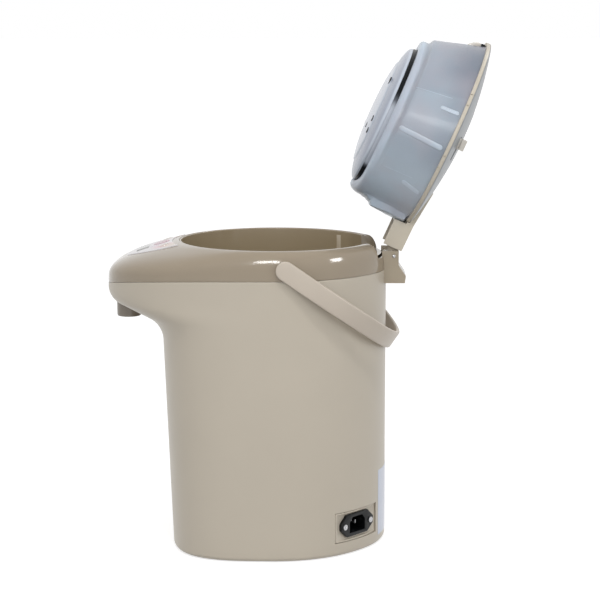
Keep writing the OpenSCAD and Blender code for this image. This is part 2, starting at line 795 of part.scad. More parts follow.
module bracket_side(x0, x1, top) {
    translate([x0, 0, 0]) rotate([90, 0, 90]) linear_extrude(x1 - x0)
        polygon([[body_r - 12, bracket_low], [foot_back - 1, bracket_low],
            [foot_back, bracket_low + 7], [bracket_back + 1.2, bracket_low + 16],
            [bracket_back, bracket_low + 18], [bracket_back, top], [body_r - 12, top]]);
}

module hinge_bracket() {
    color(BROWN) difference() {
        union() {
            bracket_side(-bracket_out, bracket_out, seat_z);
            for (s = [-1, 1]) {
                bracket_side(s > 0 ? bracket_in : -bracket_out,
                    s > 0 ? bracket_out : -bracket_in, bracket_top);
                hinge_ear(s > 0 ? ear_in : -ear_out, s > 0 ? ear_out : -ear_in);
            }
        }
        // the front face follows the round back of the pot
        translate([0, 0, bracket_low - 1]) cylinder(r = body_r + gap, h = 60, $fn = 180);
        translate([0, hinge_y, hinge_z]) rod_x(pin_r + fit, -30, 30);
        // hollow underside with the screws
        box([-bracket_in, body_r - 5, bracket_low - 1], [bracket_in, foot_back - 4, bracket_low + 3]);
        for (x = bracket_screw_x) translate([x, 0, bracket_screw_z]) {
            rod_y(bracket_screw_r, body_r - 5, body_r + 9);
        }
    }
}

module hinge_ear(x0, x1) {
    translate([0, hinge_y, hinge_z]) rod_x(ear_r, x0, x1);
    box([x0, hinge_y - ear_r, seat_z - 1], [x1, hinge_y + ear_r - 2.4, hinge_z]);
}

module bracket_screws() {
    color(STEEL) for (x = bracket_screw_x) translate([x, 0, bracket_screw_z]) {
        rod_y(bracket_screw_r - fit, recess_r + 2, body_r + 8);
        rod_y(3.4, recess_r + 2, recess_r + 3.4);
    }
}

pin_half = arm_w - 0.8;

module hinge_pin() {
    color(STEEL) translate([0, hinge_y, hinge_z]) rod_x(pin_r, -pin_half, pin_half);
}

module hinge_spring() {
    color("#b8babd") translate([-ear_in + 1.2, hinge_y, hinge_z]) rotate([0, 90, 0])
        coil(pin_r + 1.2, 0.7, 2 * ear_in - 2.4, 10, 12, 5);
}

// ---- Handle ----
pivot_r = 4;
bail_in = body_r + 0.6;
bail_out = bail_in + strap_t;

module bail_place() {
    translate([0, handle_y, handle_z]) rotate([-rest_angle, 0, 0]) children();
}

// Outline of the bail in its own plane, round corners at the back
module bail_outline(half, reach, r) {
    intersection() {
        translate([-half, 0]) square([2 * half, reach]);
        union() {
            translate([-half, 0]) square([2 * half, reach - r]);
            translate([-half + r, 0]) square([2 * (half - r), reach]);
            for (s = [-1, 1]) translate([s * (half - r), reach - r]) circle(r = r, $fn = 180);
        }
    }
}

module handle_bail() {
    color("#beb4a8") bail_place() difference() {
        union() {
            translate([0, 0, -strap_w / 2]) linear_extrude(strap_w) difference() {
                bail_outline(bail_out, handle_reach, bail_r);
                translate([0, -1]) bail_outline(bail_in, handle_reach - strap_t + 1, bail_r - strap_t);
            }
            rod_x(strap_w / 2 + 0.3, bail_in, bail_out);
            rod_x(strap_w / 2 + 0.3, -bail_out, -bail_in);
        }
        rod_x(pivot_r + fit, bail_in - 1, bail_out - 1.4);
        rod_x(pivot_r + fit, -bail_out + 1.4, -bail_in + 1);
    }
}

module handle_pivots() {
    color("#8a8074") translate([0, handle_y, handle_z]) for (s = [0, 180]) rotate([0, 0, s]) {
        rod_x(pivot_r, body_r - 8, bail_out - 1.6);
        rod_x(pivot_r + 3, body_r - 0.2, bail_in - 0.2);
        rod_x(pivot_r + 3, body_r - 8, body_r - 5);
    }
}

// ---- Lid, drawn closed and turned open about the hinge pin ----
module lid_pose() {
    translate([0, hinge_y, hinge_z]) rotate([-open_angle, 0, 0])
        translate([0, -hinge_y, -hinge_z]) children();
}

lid_z = rim_z + gap;
ring_h = 3.6;
dome_edge_r = lid_r - 3.8;
dome_edge_z = rim_z + edge_h + 0.4;
crown_z = rim_z + crown_h;
dome_drop = crown_z - dome_edge_z;
dome_r = (pow(dome_edge_r, 2) + pow(dome_drop, 2)) / (2 * dome_drop);
function dome(r) = crown_z - dome_r + sqrt(pow(dome_r, 2) - r * r);
cover_z = lid_z + ring_h;

module lid_section(out, low) {
    polygon(concat([for (i = [0:12]) let (r = i * dome_edge_r / 12) [r, dome(r) + out]],
        [[lid_r - 1.2 + out, dome_edge_z - 0.7 + out], [lid_r + out, cover_z + 0.4 + out],
         [lid_r + out, low], [0, low]]));
}

module lid_cover() {
    color("#9ea2a5") lid_pose() difference() {
        rotate_extrude($fn = 120) difference() {
            lid_section(0, cover_z);
            polygon(concat([for (i = [0:12]) let (r = i * (dome_edge_r - 1) / 12)
                [r, dome(r) - lid_t]], [[lid_r - 3.6, cover_z + 1], [lid_r - 3.6, 0], [0, 0]]));
        }
        translate([0, 0, cover_z - 5]) cylinder(r = plate_r + gap, h = 40, $fn = 96);
        box([slider_x - 4, slider_y - 7, cover_z], [slider_x + 4, slider_y + slider_travel + 7,
            crown_z + 5]);
        box([-latch_w - gap, -lid_r - 2, cover_z - 1], [latch_w + gap, -lid_r + 9.4, crown_z]);
    }
}

// Tongue of the ring that the arm is fixed to
module ring_tongue() {
    box([-14, case_r + 1, lid_z + 0.4], [14, lid_r + 0.4, lid_z + ring_h - 0.4]);
}

module lid_ring() {
    color("#bcb3a4") lid_pose() difference() {
        union() {
            ring(case_r + seam, lid_r, lid_z, cover_z);
            ring(case_r - 5, lid_r, cover_z - 1.4, cover_z);
            ring_tongue();
        }
        // snap-fit slits
        for (a = [-28, -21, 10.5, 18, 152, 159, 190, 197.5]) rotate([0, 0, a])
            box([lid_r - 1.2, -0.3, lid_z - 1], [lid_r + 1, 0.3, cover_z - 1.2]);
        // notch and bearings of the latch
        box([-latch_w - gap, -lid_r - 2, lid_z - 1], [latch_w + gap, -lid_r + 9.4, lid_z + 9]);
        translate([0, -latch_y, latch_z]) rod_x(latch_pin_r + gap, -latch_w - 2, latch_w + 2);
    }
}

// Radius at which the arm's tip lies on the cover
arm_lap = 38.4;
arm_tip_r = lid_r - arm_lap;

module lid_arm() {
    top = hinge_z + arm_top;
    color(BEIGE) lid_pose() difference() {
        union() {
            // web over the lid's rear and the hinge
            translate([-arm_w, 0, 0]) rotate([90, 0, 90]) linear_extrude(2 * arm_w)
                polygon([[hinge_y + arm_end, top - 2.2], [hinge_y + arm_end, top - 0.6],
                    [hinge_y + arm_end - 0.8, top], [lid_r - 0.4, top + 0.4],
                    [arm_tip_r, dome(arm_tip_r) + 0.6], [arm_tip_r, dome(arm_tip_r) - 3],
                    [lid_r + 0.4, cover_z - 2]]);
            for (x = [-arm_w, arm_w - arm_t]) translate([x, 0, 0]) rotate([90, 0, 90])
                linear_extrude(arm_t) polygon([[hinge_y + arm_end, hinge_z - arm_drop],
                    [hinge_y + arm_end, top - 1], [lid_r + 0.4, top - 1],
                    [lid_r + 0.4, hinge_z - arm_drop]]);
            box([-arm_w, lid_r + 0.4, hinge_z - arm_drop], [arm_w, lid_r + 2.6, top - 0.5]);
        }
        rotate_extrude($fn = 120) lid_section(seam, hinge_z - 40);
        ring_tongue();
        translate([0, hinge_y, hinge_z]) rod_x(pin_r + fit, -pin_half - 0.2, pin_half + 0.2);
        box([-arm_w + arm_t, lid_r + 2.6, hinge_z - 30],
            [arm_w - arm_t, hinge_y + 20, top - 2.2]);
    }
}

// ---- Air pump in the lid ----
function case_rad(z) = case_r - case_taper * max(0, lid_z - z);
function case_y(z) = case_shift * (lid_z - z);
function case_ring(z, in) = circle_ring(case_rad(z) - in, case_y(z), z);
case_low = rim_z - case_depth;
case_edge = 8;
case_edge_z = case_low + case_edge;
case_step = 1;
disc_y = case_y(case_low) + 1.6;
disc_r = case_rad(case_edge_z) - disc_band;
ring_in = disc_r + 1.4;
groove_z = case_low + 6;
floor_t = 2.2;

// The rounded lower edge of the case, which drops to a lip towards the hinge
function edge_ring(a, in) = circle_ring(
    case_rad(case_edge_z) - in - case_edge * (1 - cos(a)), case_y(case_edge_z),
    case_edge_z - case_edge * sin(a));
function dropped(ring, drop) = [for (i = [0:around - 1])
    ring[i] - [0, 0, drop * pow(max(0, sin(i * step)), 16)]];

module pump_case() {
    color(SMOKE) lid_pose() difference() {
        case_solid();
        // pocket of the latch's tongue
        box([-latch_w - gap, -case_r - 2, pocket_z], [latch_w + gap, -case_r + 8, lid_z + 9]);
    }
}

module case_solid() {
    top = cover_z - 1.6;
    loft(concat(
        [circle_ring(ring_in, disc_y, groove_z),
         dropped(circle_ring(ring_in, disc_y, case_low), lip_drop)],
        [for (a = [80, 60, 40, 20, 0]) dropped(edge_ring(a, case_step), lip_drop * sin(a))],
        [edge_ring(0, 0)],
        [for (k = [0.5, 1]) case_ring(lerp(case_edge_z, top, k), 0)],
        [for (k = [1, 0.5]) case_ring(lerp(case_edge_z, top, k), case_t)],
        [edge_ring(0, case_t), circle_ring(ring_in + case_t, disc_y, groove_z + floor_t),
         circle_ring(8, 0, groove_z + floor_t), circle_ring(8, 0, groove_z)]));
    for (a = [7, 173]) case_rib(a, case_low + 18);
    for (a = [-17, 43, 137, 197]) case_rib(a, lid_z - 22);
    rear_lug();
}

// A rib on the outside of the case, from z0 up to the rim
module case_rib(a, z0) {
    z1 = lid_z - 3;
    y0 = case_y(z0);
    y1 = case_y(z1);
    for (k = [0:3]) let (z = lerp(z0, z1, k / 4), zn = lerp(z0, z1, (k + 1) / 4))
        translate([0, case_y((z + zn) / 2), 0]) rotate([0, 0, a])
        box([case_rad(zn) - 1.6, -0.9, z], [case_rad(z) + 0.7, 0.9, zn]);
}

// Lug at the rear that fills the recess in the collar
module rear_lug() {
    w = recess_w - 6;
    root = case_r - 14.8;
    low = lid_z - 40;
    arm_low = hinge_z - arm_drop;
    difference() {
        intersection() {
            translate([-w, 0, 0]) rotate([90, 0, 90]) linear_extrude(2 * w)
                polygon([[root, low], [collar_r, low], [recess_r - 3, low + 20],
                    [recess_r - 3, arm_low - 2.5], [lid_r, arm_low - gap],
                    [case_r + 2.2, lid_z - 2], [root, lid_z - 2]]);
            translate([0, 0, low - 1]) cylinder(r = recess_r - 2.6, h = 42, $fn = 120);
            box([-w, 60, low - 1], [w, body_r, lid_z]);
        }
        for (k = [0:5]) let (z = lid_z - 1 - 7 * k)
            translate([0, case_y(z), z - 7]) cylinder(r1 = case_rad(z - 7) - 0.8,
                r2 = case_rad(z) - 0.8, h = 7.01, $fn = 72);
    }
}

module inner_disc() {
    color(OFFWHITE) lid_pose() translate([0, disc_y, 0]) difference() {
        rotate_extrude($fn = 120) difference() {
            disc_section(disc_r, disc_neck, disc_top);
            translate([0, disc_t]) disc_section(disc_r - disc_t, disc_neck - disc_t,
                disc_top - 2 * disc_t);
            translate([0, groove_z - 0.4]) square([disc_neck - disc_t, 5]);
        }
        for (p = vent_at) translate([p[0], p[1], 0])
            cylinder(r = p[2], h = groove_z - 1, $fn = 32);
    }
}

// Vent holes of the disc: x, y and radius
vent_at = [[26, -22, 2.2], [22, 18, 2.2], [30, 22, 1.6], [14, 4, 1.4], [-26, -22, 2.2],
    [-22, 18, 2.2]];
disc_t = 1.2;
disc_top = case_low - 4.1;
disc_edge_z = disc_top - 4;
disc_neck = disc_r - 6;

// Half section of the disc: the neck up to the case, the flange under the gasket, the bulge
module disc_section(r, neck, top) {
    polygon(concat([[0, groove_z - 0.2], [neck, groove_z - 0.2], [neck, top], [r, top],
        [r, disc_edge_z + 2], [r - 2, disc_edge_z]],
        [for (i = [0:8]) let (k = 1 - i / 8, s = k > 0.7 ? 0 : 0.8)
            [(r - 3) * k, disc_edge_z - s - (disc_bulge - 0.8) * (1 - k * k)]]));
}

module lid_gasket() {
    color("#26282b") lid_pose() translate([0, disc_y, 0])
        ring(disc_neck + 0.1, disc_r, disc_top, groove_z);
}

disc_screw_in = 22;
disc_screw_l = 6;

module disc_screws() {
    color(STEEL) lid_pose() translate([0, disc_y, 0]) for (a = [90, 210, 330])
        rotate([0, 0, a]) translate([disc_r - disc_screw_in, 0, groove_z - 0.2 - disc_screw_l])
            cylinder(r = 3, h = disc_screw_l, $fn = 32);
}

module press_plate() {
    color("#a9adb0") lid_pose() {
        rotate_extrude($fn = 96) polygon(concat(
            [for (i = [0:8]) let (r = i * plate_r / 8) [r, dome(r) + 0.2 - 1.6 * pow(1 - i / 8, 2)]],
            [[plate_r, dome(plate_r) - lid_t], [plate_r - 2, dome(plate_r) - lid_t - 0.6],
             [0, dome(plate_r) - lid_t - 0.6]]));
        ring(plate_r - 4, plate_r - 2, plate_low, dome(plate_r) - lid_t - 0.5);
    }
}

plate_low = rim_z - 12;
bellows_top = dome(plate_r) - lid_t - 0.6;
seat_low = groove_z + floor_t;
bellows_low = seat_low + 3;
folds = 7;
// Outer and inner radius of the folds, their wall, and the width of the seat
fold_out = 33;
fold_in = 28;
fold_t = 1.2;
seat_w = 9;

module bellows_seat() {
    color("#d8d8d2") lid_pose() ring(fold_out - seat_w, fold_out, seat_low, bellows_low);
}

// Half section of the folds, drawn past both ends by over
module fold_section(r0, r1, h, over) {
    polygon(concat([[0, bellows_low - over]],
        over > 0 ? [[r0, bellows_low - over]] : [], [[r0, bellows_low]],
        [for (i = [0:folds - 1]) each [[r1, bellows_low + (i + 0.5) * h],
            [r0, bellows_low + (i + 1) * h]]],
        over > 0 ? [[r0, bellows_top + over]] : [], [[0, bellows_top + over]]));
}

module bellows() {
    h = (bellows_top - bellows_low) / folds;
    color([0.86, 0.87, 0.85]) lid_pose() rotate_extrude($fn = 72) difference() {
        fold_section(fold_in, fold_out, h, 0);
        fold_section(fold_in - fold_t, fold_out - fold_t, h, 1);
    }
}

module bellows_spring() {
    color(STEEL) lid_pose() translate([0, 0, seat_low + 0.9])
        coil(18, 0.9, bellows_top - seat_low - 1.8, 6, 16, 6);
}

slider_x = 70;
slider_y = 2;
slider_travel = 11;

module lock_slider() {
    z = dome(norm([slider_x - 5, slider_y]));
    color("#d2cfca") lid_pose() {
        box([slider_x - 5, slider_y - 5.5, z + gap], [slider_x + 5, slider_y + 5.5, z + 5.5]);
        box([slider_x - 3.6, slider_y - 5.5, z - lid_t - 4], [slider_x + 3.6, slider_y + 5.5, z + 1]);
        box([slider_x - 7, slider_y - 5.5, z - lid_t - 5.4],
            [slider_x + 7, slider_y + 5.5, z - lid_t - 3.4]);
    }
}

latch_w = 7;
tongue_w = 4.6;
tongue_y = collar_r - 1.4;
tongue_t = 1.2;
tongue_low = lid_z - 14.6;
pad_z = lid_z + 0.4;
pocket_z = lid_z - 10.6;
latch_y = lid_r - 2.2;
latch_z = lid_z + 2;
latch_pin_r = 1;

// Lever in the lid's front edge: a finger pad on two journals, and a tongue in front of the case
module lid_latch() {
    color("#d2cfca") lid_pose() {
        translate([-latch_w, 0, 0]) rotate([90, 0, 90]) linear_extrude(2 * latch_w)
            polygon([[-lid_r + 8.8, pad_z], [-lid_r + 8.8, dome_edge_z + 0.4],
                [-lid_r + 4, dome_edge_z + 0.1], [-lid_r + 1.2, dome_edge_z - 0.7],
                [-lid_r + 0.2, cover_z + 0.4], [-lid_r + 0.2, pad_z]]);
        box([-tongue_w, -tongue_y, tongue_low], [tongue_w, -tongue_y + tongue_t, pad_z + 1]);
        translate([0, -latch_y, latch_z]) rod_x(latch_pin_r, -latch_w - 1.6, latch_w + 1.6);
    }
}

body_shell();
top_shell();
collar();
hinge_seat();
liner();
liner_gasket();
liner_stand();
base_cover();
foot_ring();
base_screws();
base_heater();
band_heater();
thermostat();
thermal_fuse();
pump_housing();
pump_motor();
pump_impeller();
suction_tube();
riser_tube();
tip_valve();
outlet_tube();
spout_nozzle();
gauge_window();
control_panel();
indicator_window();
dispense_button();
reboil_button();
unlock_button();
control_board();
power_board();
inlet_frame();
power_inlet();
inlet_pins();
inlet_screws();
hinge_bracket();
bracket_screws();
hinge_pin();
hinge_spring();
handle_bail();
handle_pivots();
lid_arm();
lid_cover();
lid_ring();
pump_case();
inner_disc();
lid_gasket();
disc_screws();
press_plate();
bellows();
bellows_spring();
bellows_seat();
lock_slider();
lid_latch();
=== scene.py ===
"""Looks of the electric thermo pot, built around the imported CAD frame. Lengths are in mm until mesh()."""

import json
from math import acos, asin, atan, atan2, cos, degrees, exp, hypot, pi, radians as rad, sin, sqrt, tan

import bmesh
import bpy
from mathutils import Matrix, Vector


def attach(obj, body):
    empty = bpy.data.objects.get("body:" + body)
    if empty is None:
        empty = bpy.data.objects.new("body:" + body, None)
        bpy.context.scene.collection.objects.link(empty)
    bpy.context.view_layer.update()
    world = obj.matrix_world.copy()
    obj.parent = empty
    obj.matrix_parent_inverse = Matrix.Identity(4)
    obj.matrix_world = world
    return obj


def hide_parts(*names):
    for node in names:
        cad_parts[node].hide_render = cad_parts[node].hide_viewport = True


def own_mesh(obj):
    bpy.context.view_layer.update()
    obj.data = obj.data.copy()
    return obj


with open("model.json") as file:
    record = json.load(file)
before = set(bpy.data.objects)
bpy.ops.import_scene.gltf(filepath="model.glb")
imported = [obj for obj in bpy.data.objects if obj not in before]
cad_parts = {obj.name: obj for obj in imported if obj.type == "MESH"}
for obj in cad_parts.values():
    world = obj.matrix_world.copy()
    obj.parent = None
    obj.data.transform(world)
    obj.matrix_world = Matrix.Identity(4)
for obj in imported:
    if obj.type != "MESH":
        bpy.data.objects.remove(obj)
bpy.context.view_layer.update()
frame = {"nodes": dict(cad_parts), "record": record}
nodes = frame["nodes"]
# the body that the record gives each node
BODY_OF = {node: body for body, members in frame["record"]["behaviour"]["bodies"].items() for node in members}
MM = 0.001

# -------- sizes, mostly as in part.scad
# the wall: its radius, how far its front stands out at the top and at the foot, and its squareness
BODY_R, FRONT, BASE, SQ = 110.0, 113.0, 104.2, 3.3
WALL, RIM_Z, RIM_R = 2.4, 308.3, 99.2
# the foot of the wall: the height of its lower edge, its rounding and how far it is turned in
BASE_Z, BASE_R, BASE_IN = 0.6, 4.5, 10.4
# the ledge inside the foot: its underside, its top and how far in it reaches
SHELF_LOW, SHELF_TOP, SHELF_IN = 4.5, 7.0, WALL + 16
# the parting line is level round the pot and dips towards the tip of the nose
PART_Z, PART_DIP, PART_WIDE = 279.7, 14.9, rad(30)
# the wall stands a little further out behind, on both sides of the bracket
REAR_OUT, REAR_FROM = 2.4, 0.75
# the nose: its reach, squareness, underside and roundings
REACH, NSQ, SLOPE, ROOT_R, TIP_R, TIP_Z = 170.0, 2.3, rad(21.8), 27.0, 15.9, 262.0
COLLAR_R, COLLAR_T, COLLAR_Z, LINER_R, LINER_T, LINER_Z = 96.0, 1.8, 264.0, 94.0, 1.0, 60.0
LINER_TOP, LINER_C = 262.0, 14.0
RECESS_W, RECESS_R, SEAT_Z = 38.0, 103.0, 295.5
SPOUT_Y, SPOUT_R, SPOUT_Z = 150.3, 12.5, 229.0
LID_R, HINGE_Y, HINGE_Z, OPEN = 98.4, 120.5, 307.5, rad(114.3)
CASE_R, CASE_T, TAPER, SHIFT = 94.8, 2.0, 0.18, 0.13
LID_Z = RIM_Z + 0.3
CASE_LOW, LIP_DROP, RING_H = RIM_Z - 59.8, 6.0, 3.6
BAND_Z = CASE_LOW + 8
# the notch for the latch: half its width, and how deep it goes in from the lid's edge
NOTCH_W, NOTCH_IN = 7.3, 9.4
COVER_Z, CROWN_Z, EDGE_Z, EDGE_R, LID_T = LID_Z + 3.6, RIM_Z + 18.5, RIM_Z + 5.6, 94.6, 2.2
DISC_R, DISC_Y, GROOVE_Z = 71.5, SHIFT * (LID_Z - CASE_LOW) + 1.6, CASE_LOW + 6
DISC_TOP, DISC_NECK, DISC_LOW = CASE_LOW - 4.1, DISC_R - 6, CASE_LOW - 17.5
RING_IN = DISC_R + 1.4
PLATE_R, TRAVEL = 42.0, 22.0
BELLOWS_Z = GROOVE_Z + 2.2
HANDLE = (13.2, 290.4)
REACH_H, STRAP_W, STRAP_T, REST = 131.8, 19.0, 4.2, rad(34.4)
BAIL_OUT = BODY_R + 0.6 + STRAP_T
# the arch behind is a half circle that reaches a little further out and hangs a little lower
ARCH_OUT, ARCH_SAG, SAG_POWER = 5.6, 8.2, 3.4
# the inlet's hole: its direction, height, half width and half height; and the gauge's slot
INLET_AZ, INLET_Z, INLET_W, INLET_H = rad(50.5), 29.5, 31.2, 15.4
GAUGE_R, GAUGE_ENDS = 7.3, (55, 171)
PANEL_R, PANEL_W, PANEL_FRONT = RIM_R + 6, 44.0, 155.0
GAP, SEAM = 0.3, 0.2
# points in every outline of the wall
AROUND = 360

PIN = Vector((0, HINGE_Y, HINGE_Z)) * MM
LID = Matrix.Translation(PIN) @ Matrix.Rotation(-OPEN, 4, "X") @ Matrix.Translation(-PIN)
BAIL = Matrix.Translation(Vector((0, *HANDLE)) * MM) @ Matrix.Rotation(-REST, 4, "X")


def lerp(a, b, t):
    return a + (b - a) * t


def smooth(x):
    t = min(1.0, max(0.0, x))
    return t * t * (3 - 2 * t)


# -------- mesh helpers
def add_object(name, data):
    obj = bpy.data.objects.new(name, data)
    bpy.context.collection.objects.link(obj)
    return obj


def mend(me, merge=0.0):
    """Merges points closer than merge, and turns all faces outwards."""
    bm = bmesh.new()
    bm.from_mesh(me)
    if merge:
        bmesh.ops.remove_doubles(bm, verts=bm.verts, dist=merge)
    bmesh.ops.recalc_face_normals(bm, faces=bm.faces)
    bm.to_mesh(me)
    bm.free()


def mesh(name, shape, body, mat, replaces=(), place=None, angle=32, holes=(), shade=None):
    """A piece from its (points in mm, faces), less its holes, that rides on a body.

    shade(x, y, z) gives the tone of each vertex, before the piece is moved to its place.
    """
    verts, faces = shape
    me = bpy.data.meshes.new(name)
    me.from_pydata([Vector(v) * MM for v in verts], [], faces)
    mend(me, 1e-6)
    obj = add_object(name, me)
    if holes:
        cut(obj, holes)
    if shade:
        paint(obj, shade)
    if place is not None:
        obj.data.transform(place)
    finish(obj, body, mat, replaces, angle)


def finish(obj, body, mat, replaces, angle):
    """Gives a piece its material and smooth faces, and says what it rides on and replaces."""
    me = obj.data
    me.materials.clear()
    me.materials.append(mat)
    for p in me.polygons:
        p.use_smooth = True
        p.material_index = 0
    me.set_sharp_from_angle(angle=rad(angle))
    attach(obj, body)
    if replaces:
        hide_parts(*replaces)


def bake(obj):
    """Applies the object's modifiers to its mesh."""
    dg = bpy.context.evaluated_depsgraph_get()
    me = bpy.data.meshes.new_from_object(obj.evaluated_get(dg), depsgraph=dg)
    obj.modifiers.clear()
    obj.data = me


def skin(rings, wrap=False):
    """Points and faces of a skin over rings of points: the last joins the first, or both ends are capped."""
    n, m = len(rings), len(rings[0])
    verts = [p for r in rings for p in r]
    faces = []
    for j in range(n if wrap else n - 1):
        a0, b0 = j * m, ((j + 1) % n) * m
        for i in range(m):
            k = (i + 1) % m
            faces.append((a0 + i, a0 + k, b0 + k, b0 + i))
    if not wrap:
        faces.append(tuple(range(m - 1, -1, -1)))
        faces.append(tuple((n - 1) * m + i for i in range(m)))
    return verts, faces


def turns(n):
    """The n even angles of a full turn."""
    return [2 * pi * i / n for i in range(n)]


def lathe(profile, seg, cy=0.0):
    """A closed solid turned from a closed (radius, z) profile about an upright axis at y = cy."""
    return skin([[(r * cos(a), cy + r * sin(a), z) for a in turns(seg)] for r, z in profile], wrap=True)


def rounded(points, radii, cuts=4):
    """A closed polygon with its corners rounded. radii is one number or one for each corner."""
    n = len(points)
    out = []
    for i, p in enumerate(points):
        r = radii[i] if isinstance(radii, (list, tuple)) else radii
        p0, p1, p2 = Vector(points[i - 1]), Vector(p), Vector(points[(i + 1) % n])
        a, b = p0 - p1, p2 - p1
        if r <= 0 or a.length < 1e-6 or b.length < 1e-6:
            out.append(tuple(p1))
            continue
        la, lb = a.length, b.length
        a.normalize()
        b.normalize()
        half = acos(max(-1, min(1, a.dot(b)))) / 2
        if half > rad(88):
            out.append(tuple(p1))
            continue
        d = min(r / tan(half), la * 0.48, lb * 0.48)
        q0, q1 = p1 + a * d, p1 + b * d
        for k in range(cuts + 1):
            t = k / cuts
            out.append(tuple(q0 * (1 - t) ** 2 + p1 * 2 * t * (1 - t) + q1 * t * t))
    return out


def join(*parts):
    """Several (points, faces) as one."""
    verts, faces = [], []
    for v, f in parts:
        base = len(verts)
        verts += v
        faces += [tuple(i + base for i in q) for q in f]
    return verts, faces


def moved(part, matrix):
    """A part with its points moved by a matrix given in mm."""
    v, f = part
    return [tuple(matrix @ Vector(p)) for p in v], f


def block(lo, hi):
    """A box between two corners."""
    x0, y0, z0 = lo
    x1, y1, z1 = hi
    v = [(x, y, z) for z in (z0, z1) for x, y in ((x0, y0), (x1, y0), (x1, y1), (x0, y1))]
    return v, [(0, 3, 2, 1), (4, 5, 6, 7), (0, 1, 5, 4), (1, 2, 6, 5), (2, 3, 7, 6), (3, 0, 4, 7)]


def rod(r, p0, p1, seg=48):
    """A plain cylinder between two points, used to cut holes and for small round pieces."""
    a, b = Vector(p0), Vector(p1)
    q = (b - a).to_track_quat("Z", "Y").to_matrix()
    rings = [[tuple(c + q @ Vector((r * cos(t), r * sin(t), 0))) for t in turns(seg)] for c in (a, b)]
    return skin(rings)


def polar(r, a, z):
    return r * cos(a), r * sin(a), z


def steps(n):
    """The n even steps from just above 0 up to 1."""
    return [(i + 1) / n for i in range(n)]


def cut(obj, cutters):
    """Takes the cutters' solids out of obj."""
    made = []
    for k, (verts, faces) in enumerate(cutters):
        me = bpy.data.meshes.new("cutter")
        me.from_pydata([Vector(v) * MM for v in verts], [], faces)
        mend(me)
        tool = add_object("cutter", me)
        mod = obj.modifiers.new("cut%d" % k, "BOOLEAN")
        mod.operation = "DIFFERENCE"
        mod.solver = "EXACT"
        mod.object = tool
        made.append(tool)
    bake(obj)
    for tool in made:
        bpy.data.objects.remove(tool)


def dress(node, mat, bevel, segs=2):
    """A CAD node's own shape with its edges broken, in place of the node."""
    obj = add_object(node + ".trim", nodes[node].data.copy())
    bm = bmesh.new()
    bm.from_mesh(obj.data)
    bmesh.ops.remove_doubles(bm, verts=bm.verts, dist=2e-6)
    bmesh.ops.dissolve_limit(bm, angle_limit=rad(0.4), verts=bm.verts, edges=bm.edges)
    bm.to_mesh(obj.data)
    bm.free()
    mod = obj.modifiers.new("edges", "BEVEL")
    mod.width = bevel * MM
    mod.segments = segs
    mod.limit_method = "ANGLE"
    mod.angle_limit = rad(30)
    mod.use_clamp_overlap = True
    bake(obj)
    finish(obj, BODY_OF[node], mat, (node,), 34)


# -------- materials
def lin(c):
    """An sRGB colour from 0 to 255 as linear values."""
    return tuple(((v / 255 + 0.055) / 1.055) ** 2.4 if v > 10 else v / 255 / 12.92 for v in c)


class Nodes:
    """A material whose shader nodes are added one by one."""

    def __init__(self, name):
        self.mat = bpy.data.materials.new(name)
        self.mat.use_nodes = True
        self.t = self.mat.node_tree
        self.t.nodes.clear()
        self.out = self.add("OutputMaterial")
        self.bsdf = self.add("BsdfPrincipled")
        self.link(self.bsdf, "BSDF", self.out, "Surface")
        self.coord = self.add("TexCoord")

    def add(self, kind, **values):
        n = self.t.nodes.new("ShaderNode" + kind)
        for k, v in values.items():
            setattr(n, k, v)
        return n

    def link(self, a, ao, b, bi):
        self.t.links.new(a.outputs[ao], b.inputs[bi])

    def put(self, sockets, node=None):
        """Sets sockets of a node, which is the shader itself where none is named."""
        for socket, value in sockets.items():
            (node or self.bsdf).inputs[socket].default_value = value

    def noise(self, scale, detail=3.0, rough=0.5, stretch=None):
        n = self.add("TexNoise")
        self.put({"Scale": scale, "Detail": detail, "Roughness": rough}, n)
        if stretch:
            m = self.add("Mapping")
            self.put({"Scale": stretch}, m)
            self.link(self.coord, "Object", m, "Vector")
            self.link(m, "Vector", n, "Vector")
        else:
            self.link(self.coord, "Object", n, "Vector")
        return n

    def ramp(self, src, stops):
        """A colour ramp driven by the source's factor."""
        r = self.add("ValToRGB")
        els = r.color_ramp.elements
        while len(els) < len(stops):
            els.new(0.5)
        for e, (place, colour) in zip(els, stops):
            e.position = place
            e.color = (*colour, 1)
        self.link(src, "Fac", r, "Fac")
        return r

    def mix(self, fac, a, b):
        """Colour mix; fac, a and b are (node, output) or plain values."""
        m = self.add("Mix", data_type="RGBA")
        for v, i in ((fac, 0), (a, 6), (b, 7)):
            if isinstance(v, tuple) and hasattr(v[0], "outputs"):
                self.link(*v, m, i)
            else:
                self.put({i: (*v, 1) if i else v}, m)
        return m

    def maths(self, op, a, b=None):
        """A sum; a and b are (node, output) or plain numbers."""
        m = self.add("Math", operation=op)
        for i, v in enumerate((a, b)):
            if isinstance(v, tuple):
                self.link(*v, m, i)
            elif v is not None:
                self.put({i: v}, m)
        return m, 0

    def span(self, src, lo, hi, a, b):
        """Maps a value from lo..hi to a..b."""
        m = self.add("MapRange")
        self.link(*src, m, "Value")
        self.put({"From Min": lo, "From Max": hi, "To Min": a, "To Max": b}, m)
        return m, "Result"

    def gloss(self, src, lo, hi):
        """Roughness that follows a noise from lo to hi."""
        self.link(*self.span((src, "Fac"), 0.3, 0.7, lo, hi), self.bsdf, "Roughness")

    def bump(self, src, strength, distance):
        b = self.add("Bump")
        self.put({"Strength": strength, "Distance": distance}, b)
        self.link(src, "Fac", b, "Height")
        self.link(b, "Normal", self.bsdf, "Normal")


